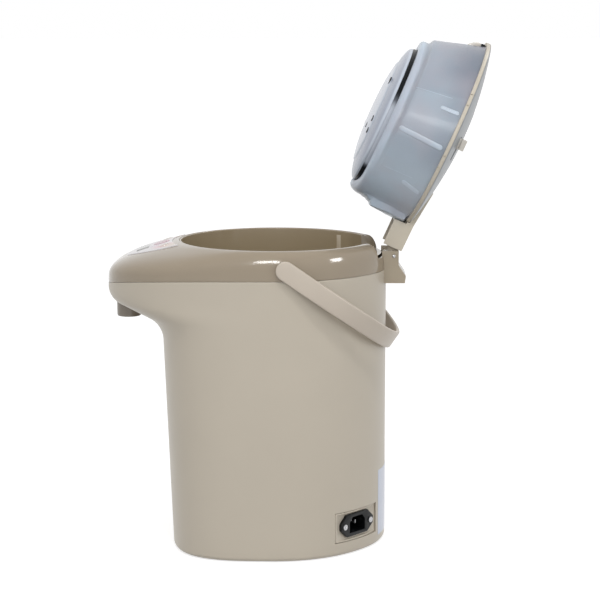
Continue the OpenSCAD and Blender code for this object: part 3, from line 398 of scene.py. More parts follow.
def plastic(name, rgb, rough=0.4, vary=0.03, grain=0.0, grain_scale=2600, coat=0.0, spec=0.5, sub=0.0):
    """Moulded plastic: a faint cloudiness in its colour and gloss, and a spark-eroded grain."""
    n = Nodes(name)
    c = lin(rgb)
    low = tuple(v * (1 - vary) for v in c)
    high = tuple(min(1, v * (1 + vary)) for v in c)
    n.link(n.ramp(n.noise(14, 4), [(0.3, low), (0.7, high)]), "Color", n.bsdf, "Base Color")
    fine = n.noise(grain_scale, 2)
    n.gloss(fine, rough * 0.9, min(1, rough * 1.12))
    if grain:
        n.bump(fine, grain, 0.0002)
    n.put({"Specular IOR Level": spec})
    if coat:
        n.put({"Coat Weight": coat, "Coat Roughness": 0.08})
    if sub:
        n.put({"Subsurface Weight": sub, "Subsurface Scale": 0.004, "Subsurface Radius": (1, 0.9, 0.8)})
    return n.mat


def metal(name, rgb, rough=0.3, stretch=(40, 40, 900), scale=3.0):
    """Metal with fine lines drawn by the stretch of its noise."""
    n = Nodes(name)
    c = lin(rgb)
    lines = n.noise(scale, 4, 0.6, stretch)
    n.link(n.ramp(lines, [(0.3, tuple(v * 0.9 for v in c)), (0.7, c)]), "Color", n.bsdf, "Base Color")
    n.gloss(lines, rough * 0.8, rough * 1.25)
    n.put({"Metallic": 1})
    n.bump(lines, 0.15, 0.00005)
    return n.mat


M = {
    "body": plastic("satin_beige", (188, 179, 164), 0.36, 0.015, 0.12, 3200),
    "top": plastic("glossy_brown", (152, 139, 120), 0.14, 0.02, coat=0.25, spec=0.4),
    "mouth": plastic("mouth_brown", (150, 134, 107), 0.22, coat=0.2),
    "handle": plastic("handle_beige", (195, 184, 170), 0.38, 0.015, 0.15, 3000),
    "bracket": plastic("bracket_brown", (157, 145, 125), 0.24, 0.02, coat=0.2),
    "arm": plastic("arm_beige", (203, 194, 177), 0.36, 0.02, 0.15, 3000),
    "lid": plastic("lid_grey", (150, 154, 158), 0.34, 0.02, spec=0.3),
    "ring": plastic("strip_beige", (194, 186, 171), 0.4, 0.03, 0.15, 2600),
    "knob": plastic("knob_white", (220, 214, 204), 0.25, 0.02, coat=0.2),
    "spout": plastic("spout_grey", (127, 118, 106), 0.25, 0.02, coat=0.2),
    "black": plastic("inlet_black", (11, 12, 14), 0.3, 0.15, 0.1, 2600, spec=0.25),
    "frame": plastic("frame_beige", (196, 187, 172), 0.4, 0.02, 0.12, 3000),
    "rubber": plastic("dark_rubber", (30, 31, 34), 0.65, 0.1, 0.3, 1800),
    "foot": plastic("foot_rubber", (58, 58, 60), 0.7, 0.1, 0.4, 1500),
    "white": plastic("white_plastic", (222, 222, 217), 0.4, 0.02, 0.1),
    "tube": plastic("clear_tube", (216, 226, 230), 0.2, sub=0.2),
    "steel": metal("spun_steel", (190, 190, 192), 0.26, (9, 9, 700), 4),
    "screw": metal("plated_screw", (188, 188, 190), 0.3, (500, 500, 500), 2),
    "alu": metal("cast_alloy", (150, 152, 156), 0.5, (200, 200, 200), 3),
    "brass": metal("rolled_strip", (196, 176, 118), 0.4, (30, 30, 500), 3),
    "board": plastic("laminate_green", (46, 104, 68), 0.4, 0.12, 0.1, 900),
    "blue": plastic("rotor_blue", (62, 110, 168), 0.35, 0.04),
    "pivot": plastic("pivot_brown", (138, 128, 116), 0.4, 0.03, 0.1),
    "rose": plastic("button_rose", (188, 150, 160), 0.25, coat=0.3),
    "cream": plastic("button_cream", (214, 209, 202), 0.25, coat=0.3),
    "glass": plastic("display_tint", (84, 86, 80), 0.1, 0.05, coat=0.4),
    # painted light: the mouth's ribs are a paler brown than the collar they stand on, for the light band they
    # catch
    "rib": plastic("mouth_rib_painted_light", (186, 172, 150), 0.2, coat=0.2),
    "label": plastic("plate_blue_grey", (190, 196, 212), 0.3, 0.05, coat=0.2),
}


def milky(name, stops, glow, coat=0.25, warm=0.0, spec=0.5):
    """Milky plastic whose tone is stored at its vertices.

    glow is the share of light that goes under the skin, warm how much of a warmer tone clouds it.
    """
    n = Nodes(name)
    attr = n.add("Attribute", attribute_name="tone")
    cloud = n.noise(22, 3)
    base = n.ramp(attr, [(at, lin(c)) for at, c in stops])
    clouded = n.mix(warm, (base, "Color"), lin((176, 160, 166)))
    patch = n.span((cloud, "Fac"), 0.42, 0.62, 0.0, 1.0)
    n.link(n.mix(patch, (base, "Color"), (clouded, 2)), 2, n.bsdf, "Base Color")
    n.gloss(n.noise(1800, 2), 0.26, 0.34)
    n.put({"Specular IOR Level": spec})
    if glow:
        n.put({"Subsurface Weight": glow, "Subsurface Scale": 0.006, "Subsurface Radius": (0.8, 0.95, 1.0)})
    if coat:
        n.put({"Coat Weight": coat, "Coat Roughness": 0.1})
    return n.mat


def paint(obj, fn):
    """Stores fn(x, y, z in mm) at each vertex, for a material that reads it."""
    stored = obj.data.attributes.new("tone", "FLOAT", "POINT")
    for i, v in enumerate(obj.data.vertices):
        stored.data[i].value = fn(*(v.co / MM))


# -------- body and nose outlines
TIP_END_Y = REACH - TIP_R * (1 - sin(SLOPE))
TIP_END_Z = TIP_Z - TIP_R * cos(SLOPE)
CORNER_Z = TIP_END_Z - (TIP_END_Y - FRONT) * tan(SLOPE)
ROOT_Z0 = CORNER_Z - ROOT_R * tan((pi / 2 - SLOPE) / 2)
ROOT_Z1 = ROOT_Z0 + ROOT_R * cos(SLOPE)
TURN = pi / 2 - SLOPE


def depth_at(z):
    if z <= ROOT_Z0:
        return lerp(BASE, FRONT, max(z, 0) / ROOT_Z0)
    if z <= ROOT_Z1:
        return FRONT + ROOT_R - sqrt(max(0, ROOT_R ** 2 - (z - ROOT_Z0) ** 2))
    if z <= TIP_END_Z:
        return TIP_END_Y + (z - TIP_END_Z) / tan(SLOPE)
    if z < TIP_Z:
        return REACH - TIP_R + sqrt(max(0, TIP_R ** 2 - (z - TIP_Z) ** 2))
    return REACH


def square_at(z):
    return lerp(SQ, NSQ, min(1, max(0, (depth_at(z) - FRONT) / (REACH - FRONT))))


def reach_in(a, r, d, n):
    """Distance from the axis to the outline in direction a."""
    c, s = cos(a), sin(a)
    if s >= 0:
        return r + REAR_OUT * smooth((s - REAR_FROM) / (1 - REAR_FROM))
    return ((abs(c) / r) ** n + (abs(s) / d) ** n) ** (-1 / n)


ANGLES = turns(AROUND)


def circle(r, z, cy=0.0):
    return [(r * cos(a), cy + r * sin(a), z) for a in ANGLES]


def level(z, inset, lift=0.0):
    """The wall's outline at a height, set in by inset. The outline is the one that stands lift lower."""
    d, n = depth_at(z - lift) - inset, square_at(z - lift)
    return [polar(reach_in(a, BODY_R - inset, d, n), a, z) for a in ANGLES]


def part_dir(a):
    """Height of the parting line in direction a."""
    off = acos(max(-1.0, min(1.0, -sin(a))))
    return PART_Z - PART_DIP * exp(-(off / PART_WIDE) ** 1.5)


def top_level(k, inset, drop=0.0):
    """A ring of the upright edge above the nose's widest level; k runs to 1 at the parting line."""
    points = []
    for a in ANGLES:
        z = lerp(TIP_Z, part_dir(a) - SEAM / 2 - drop, k)
        points.append(polar(reach_in(a, BODY_R - inset, REACH - inset, NSQ), a, z))
    return points


def make_body():
    foot = ((SHELF_TOP, SHELF_IN), (SHELF_LOW, SHELF_IN), (SHELF_LOW, BASE_IN), (BASE_Z, BASE_IN))
    rings = [level(z, inset) for z, inset in foot]
    for t in [0] + steps(12):
        a = rad(90 * t)
        rings.append(level(BASE_Z + BASE_R * (1 - cos(a)), BASE_R * (1 - sin(a))))
    rings += [level(lerp(BASE_Z + BASE_R, ROOT_Z0, t), 0) for t in steps(30)]
    rings += [level(ROOT_Z0 + ROOT_R * sin(TURN * t), 0) for t in steps(18)]
    rings += [level(lerp(ROOT_Z1, TIP_END_Z, t), 0) for t in steps(10)]
    rings += [level(TIP_Z - TIP_R * sin(TURN * (1 - t)), 0) for t in steps(14)]
    # the edge along the parting line is rounded over
    edge = 0.5
    rings += [top_level(t, 0, edge) for t in steps(10)]
    for t in steps(4):
        a = rad(90 * t)
        rings.append(top_level(1, edge * (1 - cos(a)), edge * (1 - sin(a))))
    # the inside, from the parting line down
    rings += [top_level(1, WALL), top_level(0.3, WALL)]
    rings += [level(lerp(TIP_END_Z, TIP_Z, k), WALL, WALL) for k in (0.8, 0.4, 0)]
    rings += [level(lerp(ROOT_Z0, ROOT_Z1, k) + WALL, WALL, WALL) for k in (1, 0.7, 0.35, 0)]
    rings.append(level(SHELF_TOP, WALL))
    front, back = -125, -85
    holes = [rod(SPOUT_R + GAP, (0, -SPOUT_Y, 215), (0, -SPOUT_Y, 262), 96),
             moved(block((85, -INLET_W, INLET_Z - INLET_H), (115, INLET_W, INLET_Z + INLET_H)),
                   Matrix.Rotation(INLET_AZ, 4, "Z"))]
    holes += [rod(GAUGE_R, (0, front, z), (0, back, z)) for z in GAUGE_ENDS]
    holes.append(block((-GAUGE_R, front, GAUGE_ENDS[0]), (GAUGE_R, back, GAUGE_ENDS[1])))
    shape = skin(rings, wrap=True)
    mesh("shell_body", shape, "pot", M["body"], ("body_shell",), None, 40, holes)


# -------- top shell
def front_share(a):
    """How far direction a belongs to the nose, from 0 to 1."""
    return smooth((-sin(a) - 0.2) / 0.7)


def box_at(a):
    """How square the shoulder's section is."""
    return lerp(2.6, 4.0, front_share(a))


def slope_at(a):
    """The share of the shoulder's height that is a plain slope."""
    return 0.45 * front_share(a)


def rise(f, a):
    """Height of the shoulder, from 0 to 1, at the share f of its way in."""
    c = (1 - f) ** (box_at(a) / 2)
    s = sqrt(max(0, 1 - c * c))
    return (1 - slope_at(a)) * s ** (2 / box_at(a)) + slope_at(a) * f


def top_z(x, y):
    """Height of the top shell's skin over a point."""
    a = atan2(y, x)
    r0 = reach_in(a, BODY_R, REACH, NSQ)
    f = min(1, max(0, (r0 - hypot(x, y)) / (r0 - RIM_R)))
    return lerp(part_dir(a), RIM_Z, rise(f, a))


def shell_ring(b, inn=0.0, lift=0.0):
    """A ring of the shoulder; b runs from 0 at the parting line to 90 degrees at the rim."""
    out = []
    for a in ANGLES:
        m = box_at(a)
        f = 1 - max(0.0, cos(b)) ** (2 / m)
        r = lerp(reach_in(a, BODY_R, REACH, NSQ) - inn, RIM_R + inn / 2, f)
        g = (1 - slope_at(a)) * sin(b) ** (2 / m) + slope_at(a) * f
        z0 = part_dir(a) + SEAM / 2 + lift
        out.append(polar(r, a, lerp(z0, RIM_Z - inn, g)))
    return out


def seam_ring(inset, up):
    """A ring of the top shell's lower edge."""
    return [polar(reach_in(a, BODY_R, REACH, NSQ) - inset, a, part_dir(a) + SEAM / 2 + up) for a in ANGLES]


def make_top():
    lip = COLLAR_R + COLLAR_T + SEAM
    rings = [seam_ring(0.5, 0.0), seam_ring(0.15, 0.12), seam_ring(0.0, 0.5)]
    rings += [shell_ring(rad(90) * (i / 44) ** 1.15, 0, 0.5 * (1 - i / 44)) for i in range(1, 44)]
    rings.append(circle(RIM_R, RIM_Z))
    # the inner lip, from its rounded edge down
    for out, down in ((0.7, 0.05), (0.3, 0.25), (0.06, 0.7), (0, 1.3), (0, 6), (1.6, 6)):
        rings.append(circle(lip + out, RIM_Z - down))
    rings += [shell_ring(rad(d), WALL) for d in (70, 45, 25, 10, 3)]
    rings.append(seam_ring(WALL, 0))
    room = 2.2
    holes = [block((-RECESS_W - room, 60, SEAT_Z - room), (RECESS_W + room, 120, RIM_Z + 5)),
             rod(4.3, (-120, *HANDLE), (120, *HANDLE))]
    mesh("shell_top", skin(rings, wrap=True), "pot", M["top"], ("top_shell",), None, 40, holes)


def make_collar():
    outer, seat, top = COLLAR_R + COLLAR_T, LINER_R + 1.6, RIM_Z - 0.5
    prof = rounded([(COLLAR_R, top), (outer, top), (outer, COLLAR_Z), (seat, COLLAR_Z), (seat, COLLAR_Z + 2),
                    (COLLAR_R, COLLAR_Z + 2)], [0.5, 0.3, 0, 0.2, 0, 0.2])
    recess = block((-RECESS_W - 2.2, 20, COLLAR_Z - 1), (RECESS_W + 2.2, 120, RIM_Z + 1))
    mesh("collar_wall", lathe(prof, 256), "pot", M["mouth"], ("collar",), None, 40, [recess])


def arc(r, n=10):
    """Steps of a quarter round from its foot to its side: how far out and how far up."""
    return [(r * sin(rad(90 * i / n)), r - r * cos(rad(90 * i / n))) for i in range(n + 1)]


def make_liner():
    floor_r, top = LINER_R + 1 - LINER_C, LINER_TOP - LINER_T
    out = [(0.0, LINER_Z)] + [(floor_r + r, LINER_Z + z) for r, z in arc(LINER_C)]
    out += [(LINER_R + LINER_T, top), (COLLAR_R + COLLAR_T, top), (COLLAR_R + COLLAR_T, LINER_TOP)]
    out += [(LINER_R + 0.6, LINER_TOP), (LINER_R + 0.15, LINER_TOP - 0.2), (LINER_R, LINER_TOP - 0.7)]
    # the inside, down to the flat floor
    inner = LINER_C - LINER_T
    out += [(LINER_R - inner + r, LINER_Z + LINER_T + z) for r, z in reversed(arc(inner))]
    out += [(r, LINER_Z + 1) for r in (70, 68, 0.0)]
    outlet = rod(4.5, (0, -58, 50), (0, -58, 70))
    mesh("liner_pot", lathe(out, 256), "pot", M["steel"], ("liner",), None, 35, [outlet])


# -------- handle
def make_handle():
    half = BAIL_OUT - STRAP_T / 2
    v_end = REACH_H + ARCH_OUT - STRAP_T / 2
    straight = v_end - half
    # the strap's middle line, with its outward direction: round end, straight arm, half circle
    end = 9.6
    path = [(half, -end * cos(rad(90 * i / 8)), (1, 0)) for i in range(9)]
    path += [(half, straight * t, (1, 0)) for t in steps(6)]
    for i in range(1, 96):
        a = rad(180 * i / 96)
        path.append((half * cos(a), straight + half * sin(a), (cos(a), sin(a))))
    path += [(-u, w, (-nx, ny)) for u, w, (nx, ny) in reversed(path[:15])]
    rings = []
    for u, w, (nx, ny) in path:
        hw = STRAP_W / 2 if w >= 0 else sqrt(max(0.15, end ** 2 - w ** 2)) * STRAP_W / 2 / end
        # the outermost part of the round end is thinner
        ht = STRAP_T / 2 * (0.75 if w < 0.4 - end else 1)
        e = min(1.5, hw * 0.9)
        corners = ((ht - e, hw - e, 0), (e - ht, hw - e, 90), (e - ht, e - hw, 180), (ht - e, e - hw, 270))
        sec = [(cx + e * cos(rad(a0 + 18 * k)), cy + e * sin(rad(a0 + 18 * k)))
               for cx, cy, a0 in corners for k in range(6)]
        sag = ARCH_SAG * max(0.0, w / v_end) ** SAG_POWER
        rings.append([(u + nx * t, w + ny * t, s - sag) for t, s in sec])
    mesh("bail_strap", skin(rings), "handle", M["handle"], ("handle_bail",), BAIL, 40)


# -------- lid
def dome_r():
    """Radius of the lid's domed top."""
    d = CROWN_Z - EDGE_Z
    return (EDGE_R ** 2 + d * d) / (2 * d)


def dome(r):
    """Height of the lid's top at the radius r."""
    return CROWN_Z - dome_r() + sqrt(dome_r() ** 2 - r * r)


def notch(inner, z0, z1):
    """The hole for the latch in the lid's front edge."""
    return block((-NOTCH_W, -101, z0), (NOTCH_W, inner, z1))


def make_cover():
    r0 = PLATE_R + GAP
    prof = [(r0, dome(r0) - LID_T), (r0, dome(r0) - 0.4), (r0 + 0.12, dome(r0) - 0.12), (r0 + 0.45, dome(r0))]
    prof += [(r, dome(r)) for r in [lerp(r0 + 1, EDGE_R, t) for t in [0] + steps(20)]]
    prof += [(95.8, EDGE_Z - 0.25), (96.8, EDGE_Z - 0.6), (97.6, EDGE_Z - 1.0), (98.1, COVER_Z + 0.45)]
    prof += [(LID_R, COVER_Z + 0.1), (LID_R, COVER_Z), (94.8, COVER_Z), (93.4, COVER_Z + 0.6)]
    prof += [(r, dome(r) - LID_T) for r in [lerp(EDGE_R - 1.6, r0 + 1, t) for t in [0] + steps(8)]]
    holes = [block((66, -5, COVER_Z), (74, 20, CROWN_Z + 5)), notch(NOTCH_IN - LID_R, COVER_Z - 1, CROWN_Z)]
    mesh("lid_shell", lathe(prof, 256), "lid", M["lid"], ("lid_cover",), LID, 35, holes)


# directions of the slits in the lid's ring
SLITS = (-28, -21, 10.5, 18, 152, 159, 190, 197.5)


def make_ring():
    z0, z1, inner, rest = LID_Z, LID_Z + RING_H, CASE_R - 5, CASE_R + SEAM
    prof = rounded([(rest, z0), (LID_R, z0), (LID_R, z1), (inner, z1), (inner, z1 - 1.4), (rest, z1 - 1.4)],
                   [0.3, 0.8, 0.5, 0, 0, 0])
    slit = block((LID_R - 1.2, -0.35, z0 - 1), (LID_R + 1, 0.35, z1 - 0.9))
    holes = [notch(NOTCH_IN - LID_R, z0 - 1, z0 + 9)]
    holes += [moved(slit, Matrix.Rotation(rad(a), 4, "Z")) for a in SLITS]
    mesh("lid_strip", lathe(prof, 256), "lid", M["ring"], ("lid_ring",), LID, 35, holes)
    tongue = block((-14, CASE_R + 1, z0 + 0.4), (14, LID_R + 0.4, z1 - 0.4))
    mesh("lid_strip_tongue", tongue, "lid", M["ring"], (), LID)


def make_plate():
    top, inner, foot = dome(PLATE_R), PLATE_R - 2, RIM_Z - 12
    under = top - LID_T - 0.6
    prof = [(PLATE_R * k, dome(PLATE_R * k) + 0.15 - 1.6 * (1 - k) ** 2) for k in [0] + steps(16)[:-1]]
    prof += [(PLATE_R - 1.2, top + 0.12), (PLATE_R - 0.35, top - 0.1), (PLATE_R, top - 0.5)]
    prof += [(PLATE_R, top - LID_T), (inner, under), (inner, foot)]
    prof += [(inner - 2, foot), (inner - 2, under), (0, under)]
    mesh("press_plate_top", lathe(prof, 192), "press_plate", M["lid"], ("press_plate",), LID, 35)


# the pump case: an oblique cone with a rounded lower edge and a lug at the rear
def case_rad(z):
    """Radius of the case at a height."""
    return CASE_R - TAPER * max(0, LID_Z - z)


def case_y(z):
    """How far the case's middle has moved back at a height."""
    return SHIFT * (LID_Z - z)


# depth below the lid's edge and how far back the lug's face stands there
LUG_FACE = ((0, 95.5), (3, 97.5), (9, 99.6), (16, 100.1), (27, 98.4), (39, 97.2), (46, 95.4), (52, 93.0))

# how far out the lug may stand at each height, so that it clears the tank's rim and the recess when shut
LUG_ROOM = ((0, 93.3), (262, 93.3), (264.5, 95.0), (266.6, 95.4), (268.6, RECESS_R - 2.9))


def along(points, t):
    """The value at t on a line through (place, value) points."""
    for (t0, v0), (t1, v1) in zip(points, points[1:]):
        if t <= t1:
            return lerp(v0, v1, max(0.0, (t - t0) / (t1 - t0)))
    return points[-1][1]


def lug(a, z):
    """How far the rear lug stands out of the case wall."""
    if sin(a) < 0 or z > LID_Z - 1:
        return 0.0
    x = case_rad(z) * cos(a)
    y0 = case_y(z) + case_rad(z) * sin(a)
    d = LID_Z - z
    room = along(LUG_ROOM, z)
    want = max(0.0, min(along(LUG_FACE, d), sqrt(max(0, room * room - x * x))) - y0)
    width = 1 - smooth((abs(x) - 29) / 3.5)
    fade = smooth((d - 1) / 2) * (1 - smooth((d - 48) / 4))
    return want * width * fade


# the wall is a little flatter in front
CASE_FLAT = 1.1


def case_ring(z, inset, with_lug=True):
    """A ring of the case wall at a height, set in by inset."""
    out = []
    for a in ANGLES:
        r = case_rad(z) - inset - CASE_FLAT * smooth((-sin(a) - 0.6) / 0.4)
        if with_lug:
            r += lug(a, z) * abs(sin(a))
        out.append((r * cos(a), case_y(z) + r * sin(a), z))
    return out


# heights between which the band runs out into the wall
LEDGE = (256.2, 260.4)

# the band at the case's foot: its radius, and its rounding in front and behind
BAND_R, BAND_FRONT, BAND_EDGE = 82.9, 3.4, 7.6


def dropped(ring, drop):
    """The ring pulled down towards the hinge, where the case ends in a lip."""
    return [(x, y, z - drop * max(0, sin(a)) ** 16) for (x, y, z), a in zip(ring, ANGLES)]


def band_ring(turn):
    """A ring of the band's rounded edge, turned by an angle from its side to its face."""
    out = []
    for a in ANGLES:
        edge = lerp(BAND_EDGE, BAND_FRONT, smooth((-sin(a) - 0.5) / 0.5))
        r = BAND_R - edge * (1 - cos(turn))
        out.append((r * cos(a), DISC_Y + r * sin(a), CASE_LOW + edge * (1 - sin(turn))))
    return out


def ledge_ring(t):
    """A ring of the soft step between the band and the wall; t runs from 0 to 1."""
    low, high = circle(BAND_R, LEDGE[0], DISC_Y), case_ring(LEDGE[1], 0)
    k = smooth(t)
    return [(lerp(p[0], q[0], k), lerp(p[1], q[1], k), lerp(p[2], q[2], t)) for p, q in zip(low, high)]


def make_case():
    rings = [circle(RING_IN, GROOVE_Z, DISC_Y)]
    for inset, up in ((0, 1.0), (0.15, 0.35), (0.6, 0)):
        rings.append(dropped(circle(RING_IN + inset, CASE_LOW + up, DISC_Y), LIP_DROP))
    for d in (84, 74, 62, 50, 38, 26, 14, 2):
        a = rad(d)
        rings.append(dropped(band_ring(a), LIP_DROP * sin(a)))
    # the ledge between the band and the wall, deep in front and fading towards the hinge
    rings += [ledge_ring(i / 7) for i in range(7)]
    top = LID_Z + RING_H - 1.6
    rings += [case_ring(lerp(LEDGE[1], top, t), 0) for t in [0] + steps(40)]
    rings += [case_ring(z, CASE_T, False) for z in (top, 285, BAND_Z + 2)]
    rings += [circle(8, BELLOWS_Z), circle(8, GROOVE_Z)]
    stops = ((0.0, (127, 134, 146)), (0.45, (152, 162, 174)), (0.75, (173, 186, 198)), (1.0, (194, 208, 223)))
    mat = milky("milky_case", stops, 0.3, coat=0.06, warm=0.26, spec=0.25)
    hole = block((-NOTCH_W, -100, LID_Z - 10.6), (NOTCH_W, 8 - CASE_R, LID_Z + 9))
    shape = skin(rings, wrap=True)
    mesh("case_shell", shape, "lid", mat, ("pump_case",), LID, 38, [hole], tone)
    for name, y0, z0, y1, z1, half, groove in RIBS:
        pair = join(*(pill(y0, z0, y1, z1, half, groove, side) for side in (1, -1)))
        # painted highlight: the ribs are painted lighter than the wall, for their own paler tone and the
        # light along them, the grooved ones lightest
        light = 1.0 if groove else 0.9
        mesh("case_rib_" + name, pair, "lid", mat, (), LID, 60, shade=lambda x, y, z: light)


# ribs on the case wall: y and z of both ends, half width, and whether a groove runs along it
RIBS = (
    ("long", 10.6, 259.5, 12.4, 305.5, 2.7, False),
    ("mid", -23.4, 287.6, -24.3, 306.4, 1.9, True),
    ("rear", 57.6, 284.5, 62.2, 305.0, 2.5, True),
    ("hair_front", -30.6, 259.0, -35.2, 295.0, 0.35, False),
    ("hair_rear", 51.4, 262.0, 50.6, 292.0, 0.35, False),
)


def tone(x, y, z):
    """Lighter along the rounded lower edge, for the paler milky rim and a painted highlight along it; lighter
    in a band across the middle and darker towards the front, where inner walls stand behind the skin. Painted
    light lightens the wall towards the hinge, which faces down when the lid is open; painted shade darkens it
    near the ring.
    """
    a = degrees(atan2(y - case_y(z), abs(x)))
    band = smooth((BAND_Z - 0.5 - z) / 1.5)
    t = 0.5
    inside = smooth((a + 26) / 2) * (1 - smooth((a - 6) / 2))
    t += 0.12 * inside * smooth((z - 259) / 5)
    t -= 0.3 * smooth((-a - 30) / 16) * smooth((z - 266) / 26)
    # painted light: the wall towards the hinge, which faces down and lies in shade when the lid is open, is
    # painted lighter
    t += 0.36 * smooth((a - 8) / 34)
    # painted shade: the wall is painted darker near the ring
    t -= 0.2 * smooth((z - 282) / 22) * (1 - smooth((a - 10) / 20))
    # the rounded lower edge is lighter, for its own paler milky tone and a painted highlight
    return min(1, max(0, lerp(t, 0.86, band)))


def wall_angle(y, z):
    """Direction in which the case wall stands at the place y, seen from the case's axis."""
    return asin(max(-1, min(1, (y - case_y(z)) / case_rad(z))))


def pill(y0, z0, y1, z1, half, groove, side, seg=12):
    """A rib with rounded ends that lies up the case wall, with a groove along it where asked."""
    rings = []
    n = 20
    for i in range(n + 1):
        t = 0.5 - 0.5 * cos(pi * i / n)
        z = lerp(z0, z1, t)
        end = min(z - z0, z1 - z)
        k = sqrt(max(0.03, 1 - max(0.0, 1 - end / half) ** 2))
        a = wall_angle(lerp(y0, y1, t), z)
        out = Vector((cos(a), sin(a), 0))
        across = Vector((-sin(a), cos(a), 0))
        c = Vector((0, case_y(z), z)) + out * (case_rad(z) - 0.4)
        ring = []
        for j in range(seg + 1):
            b = pi * j / seg
            high = min(0.6, 0.2 * half + 0.1) * sin(b) ** 1.2
            if groove:
                high -= 0.35 * exp(-(cos(b) / 0.45) ** 2) * k
            ring.append(c + across * (half * k * cos(b)) + out * (0.4 + high * k))
        ring += [c - out * 0.8 - across * (half * k * 0.9), c - out * 0.8 + across * (half * k * 0.9)]
        rings.append([(side * p.x, p.y, p.z) for p in ring])
    return skin(rings)


def disc_tone(x, y, z):
    """The raised middle is the lightest, the ring around it lilac grey, the rolled edge light again."""
    r = hypot(x, y - DISC_Y)
    t = lerp(1.0, 0.35, smooth((r - 49) / 8))
    return lerp(t, 0.8, smooth((r - 69.3) / 1.6))


# the disc's face as (radius, height above its lowest point): domed middle, step, ring, rolled edge
DISC_FACE = (
    (0, 0), (12, 0.1), (22, 0.45), (32, 1.1), (41, 2.1), (48, 3.4), (52.4, 4.3),
    (53.2, 4.7), (53.8, 5.3), (54.6, 5.6), (59, 6.4), (64, 7.8), (67.5, 9.1),
    (69.6, 10.2), (70.8, 11.2), (71.3, 12.1), (71.5, 12.9),
)

# dark rings with a light plug in the disc's middle: x, y and radius
VENTS = ((36, -34, 3.9), (46, 6, 3.1), (27, 15, 2.9), (44.5, 18.5, 3.1), (-36, -34, 3.9), (-27, 15, 2.9))


def make_disc():
    low, top, neck = DISC_LOW, DISC_TOP, DISC_NECK - 1.2
    prof = [(r, low + up) for r, up in DISC_FACE]
    prof += [(71.5, top - 0.2), (71.3, top), (DISC_NECK, top), (DISC_NECK, GROOVE_Z - 0.2)]
    prof += [(neck, GROOVE_Z - 0.2), (neck, top - 1.5), (50, low + 5.0), (0, low + 1.4)]
    stops = ((0.0, (140, 146, 162)), (0.35, (156, 163, 178)), (0.8, (188, 196, 208)), (1.0, (203, 208, 219)))
    mat = milky("milky_disc", stops, 0.12)
    shape = lathe(prof, 256, DISC_Y)
    mesh("disc_plate", shape, "lid", mat, ("inner_disc",), LID, 35, shade=disc_tone)
    plugs, rims = [], []
    for x, y, r in VENTS:
        z = low + 3.6 * (hypot(x, y) / 49) ** 2.3 - 0.1
        place = Matrix.Translation((x, DISC_Y + y, 0))
        section = rounded([(r * 0.55, z - 0.3), (r, z - 0.3), (r, z + 1), (r * 0.55, z + 1)], 0.15, 2)
        rims.append(moved(lathe(section, 32), place))
        plugs.append(moved(rod(r * 0.56, (0, 0, z - 0.2), (0, 0, z + 1), 24), place))
    mesh("disc_vents", join(*rims), "lid", M["rubber"], (), LID, 35)
    mesh("disc_plugs", join(*plugs), "lid", M["knob"], (), LID, 35)


def gasket_painted_sheen(x, y, z):
    """Painted reflection: the black lip is painted grey where it faces the open side, for the sheen of the
    light on it.
    """
    a = degrees(atan2(y - DISC_Y, abs(x)))
    return smooth((a + 24) / 16) * (1 - smooth((a - 40) / 8))


def make_gasket():
    z0, z1, neck = DISC_TOP + 0.03, GROOVE_Z - 0.03, DISC_NECK + 0.1
    prof = rounded([(neck, z0), (DISC_R - 0.4, z0), (DISC_R + 0.5, z0 + 1.6), (DISC_R + 0.5, z1), (neck, z1)],
                   [0, 0.4, 0.8, 0, 0], 3)
    # the grey end of this ramp is painted reflection, the black end the rubber's own colour
    stops = ((0.0, (14, 17, 20)), (0.5, (96, 100, 108)), (1.0, (182, 188, 198)))
    mat = milky("gasket_rubber", stops, 0.0, coat=0, spec=0.15)
    shape = lathe(prof, 256, DISC_Y)
    mesh("gasket_strip", shape, "lid", mat, ("lid_gasket",), LID, 40, shade=gasket_painted_sheen)


def make_spout():
    bore, r, z = 5, SPOUT_R, SPOUT_Z
    prof = [(bore, z + 24), (bore, z + 5), (bore + 0.3, z + 4.2), (r - 3.4, z + 4), (r - 3, z + 3.6)]
    prof += [(r - 2.8, z + 0.7), (r - 2.5, z + 0.15), (r - 2.1, z), (r - 1.5, z), (r - 0.9, z + 0.25)]
    prof += [(r - 0.5, z + 0.8), (r - 0.25, z + 2), (r, z + 20), (r, z + 24)]
    shape = lathe(prof, 128, -SPOUT_Y)
    mesh("spout_tip", shape, "pot", M["spout"], ("spout_nozzle",), None, 35)


# -------- control panel
def panel_uv(u, v):
    """A place on the film: u runs outwards from 0 to 1, v across from -1 to 1."""
    x = PANEL_W * sin(pi / 2 * v)
    y0 = -sqrt(PANEL_R ** 2 - x * x)
    y1 = -lerp(PANEL_R, PANEL_FRONT, sqrt(max(0, 1 - (x / PANEL_W) ** 2))) + 3
    return x, lerp(y0, y1, u)


# soft discs on both sides of the film: x, y, radius, colour and strength
SPOTS = ((27, -112, 13, (206, 158, 168), 0.8), (33, -104, 11, (200, 178, 160), 0.7),
         (14, -122, 8, (176, 146, 170), 0.6))


def panel_material():
    """Pale film with soft rose and peach discs around the keys: plain decoration, no lettering."""
    n = Nodes("panel_film")
    base = n.ramp(n.noise(30, 3), [(0.3, lin((192, 188, 190))), (0.7, lin((202, 198, 200)))])
    col = (base, "Color")
    xyz = n.add("SeparateXYZ")
    n.link(n.coord, "Object", xyz, "Vector")
    for x, y, r, rgb, amount in SPOTS:
        for side in (1, -1):
            dx = n.maths("SUBTRACT", (xyz, "X"), side * x * MM)
            dy = n.maths("SUBTRACT", (xyz, "Y"), y * MM)
            far = n.maths("SQRT", n.maths("ADD", n.maths("MULTIPLY", dx, dx), n.maths("MULTIPLY", dy, dy)))
            col = (n.mix(n.span(far, r * 0.6 * MM, r * MM, amount, 0.0), col, lin(rgb)), 2)
    n.link(*col, n.bsdf, "Base Color")
    n.gloss(n.noise(1500, 2), 0.2, 0.28)
    n.put({"Coat Weight": 0.4})
    return n.mat


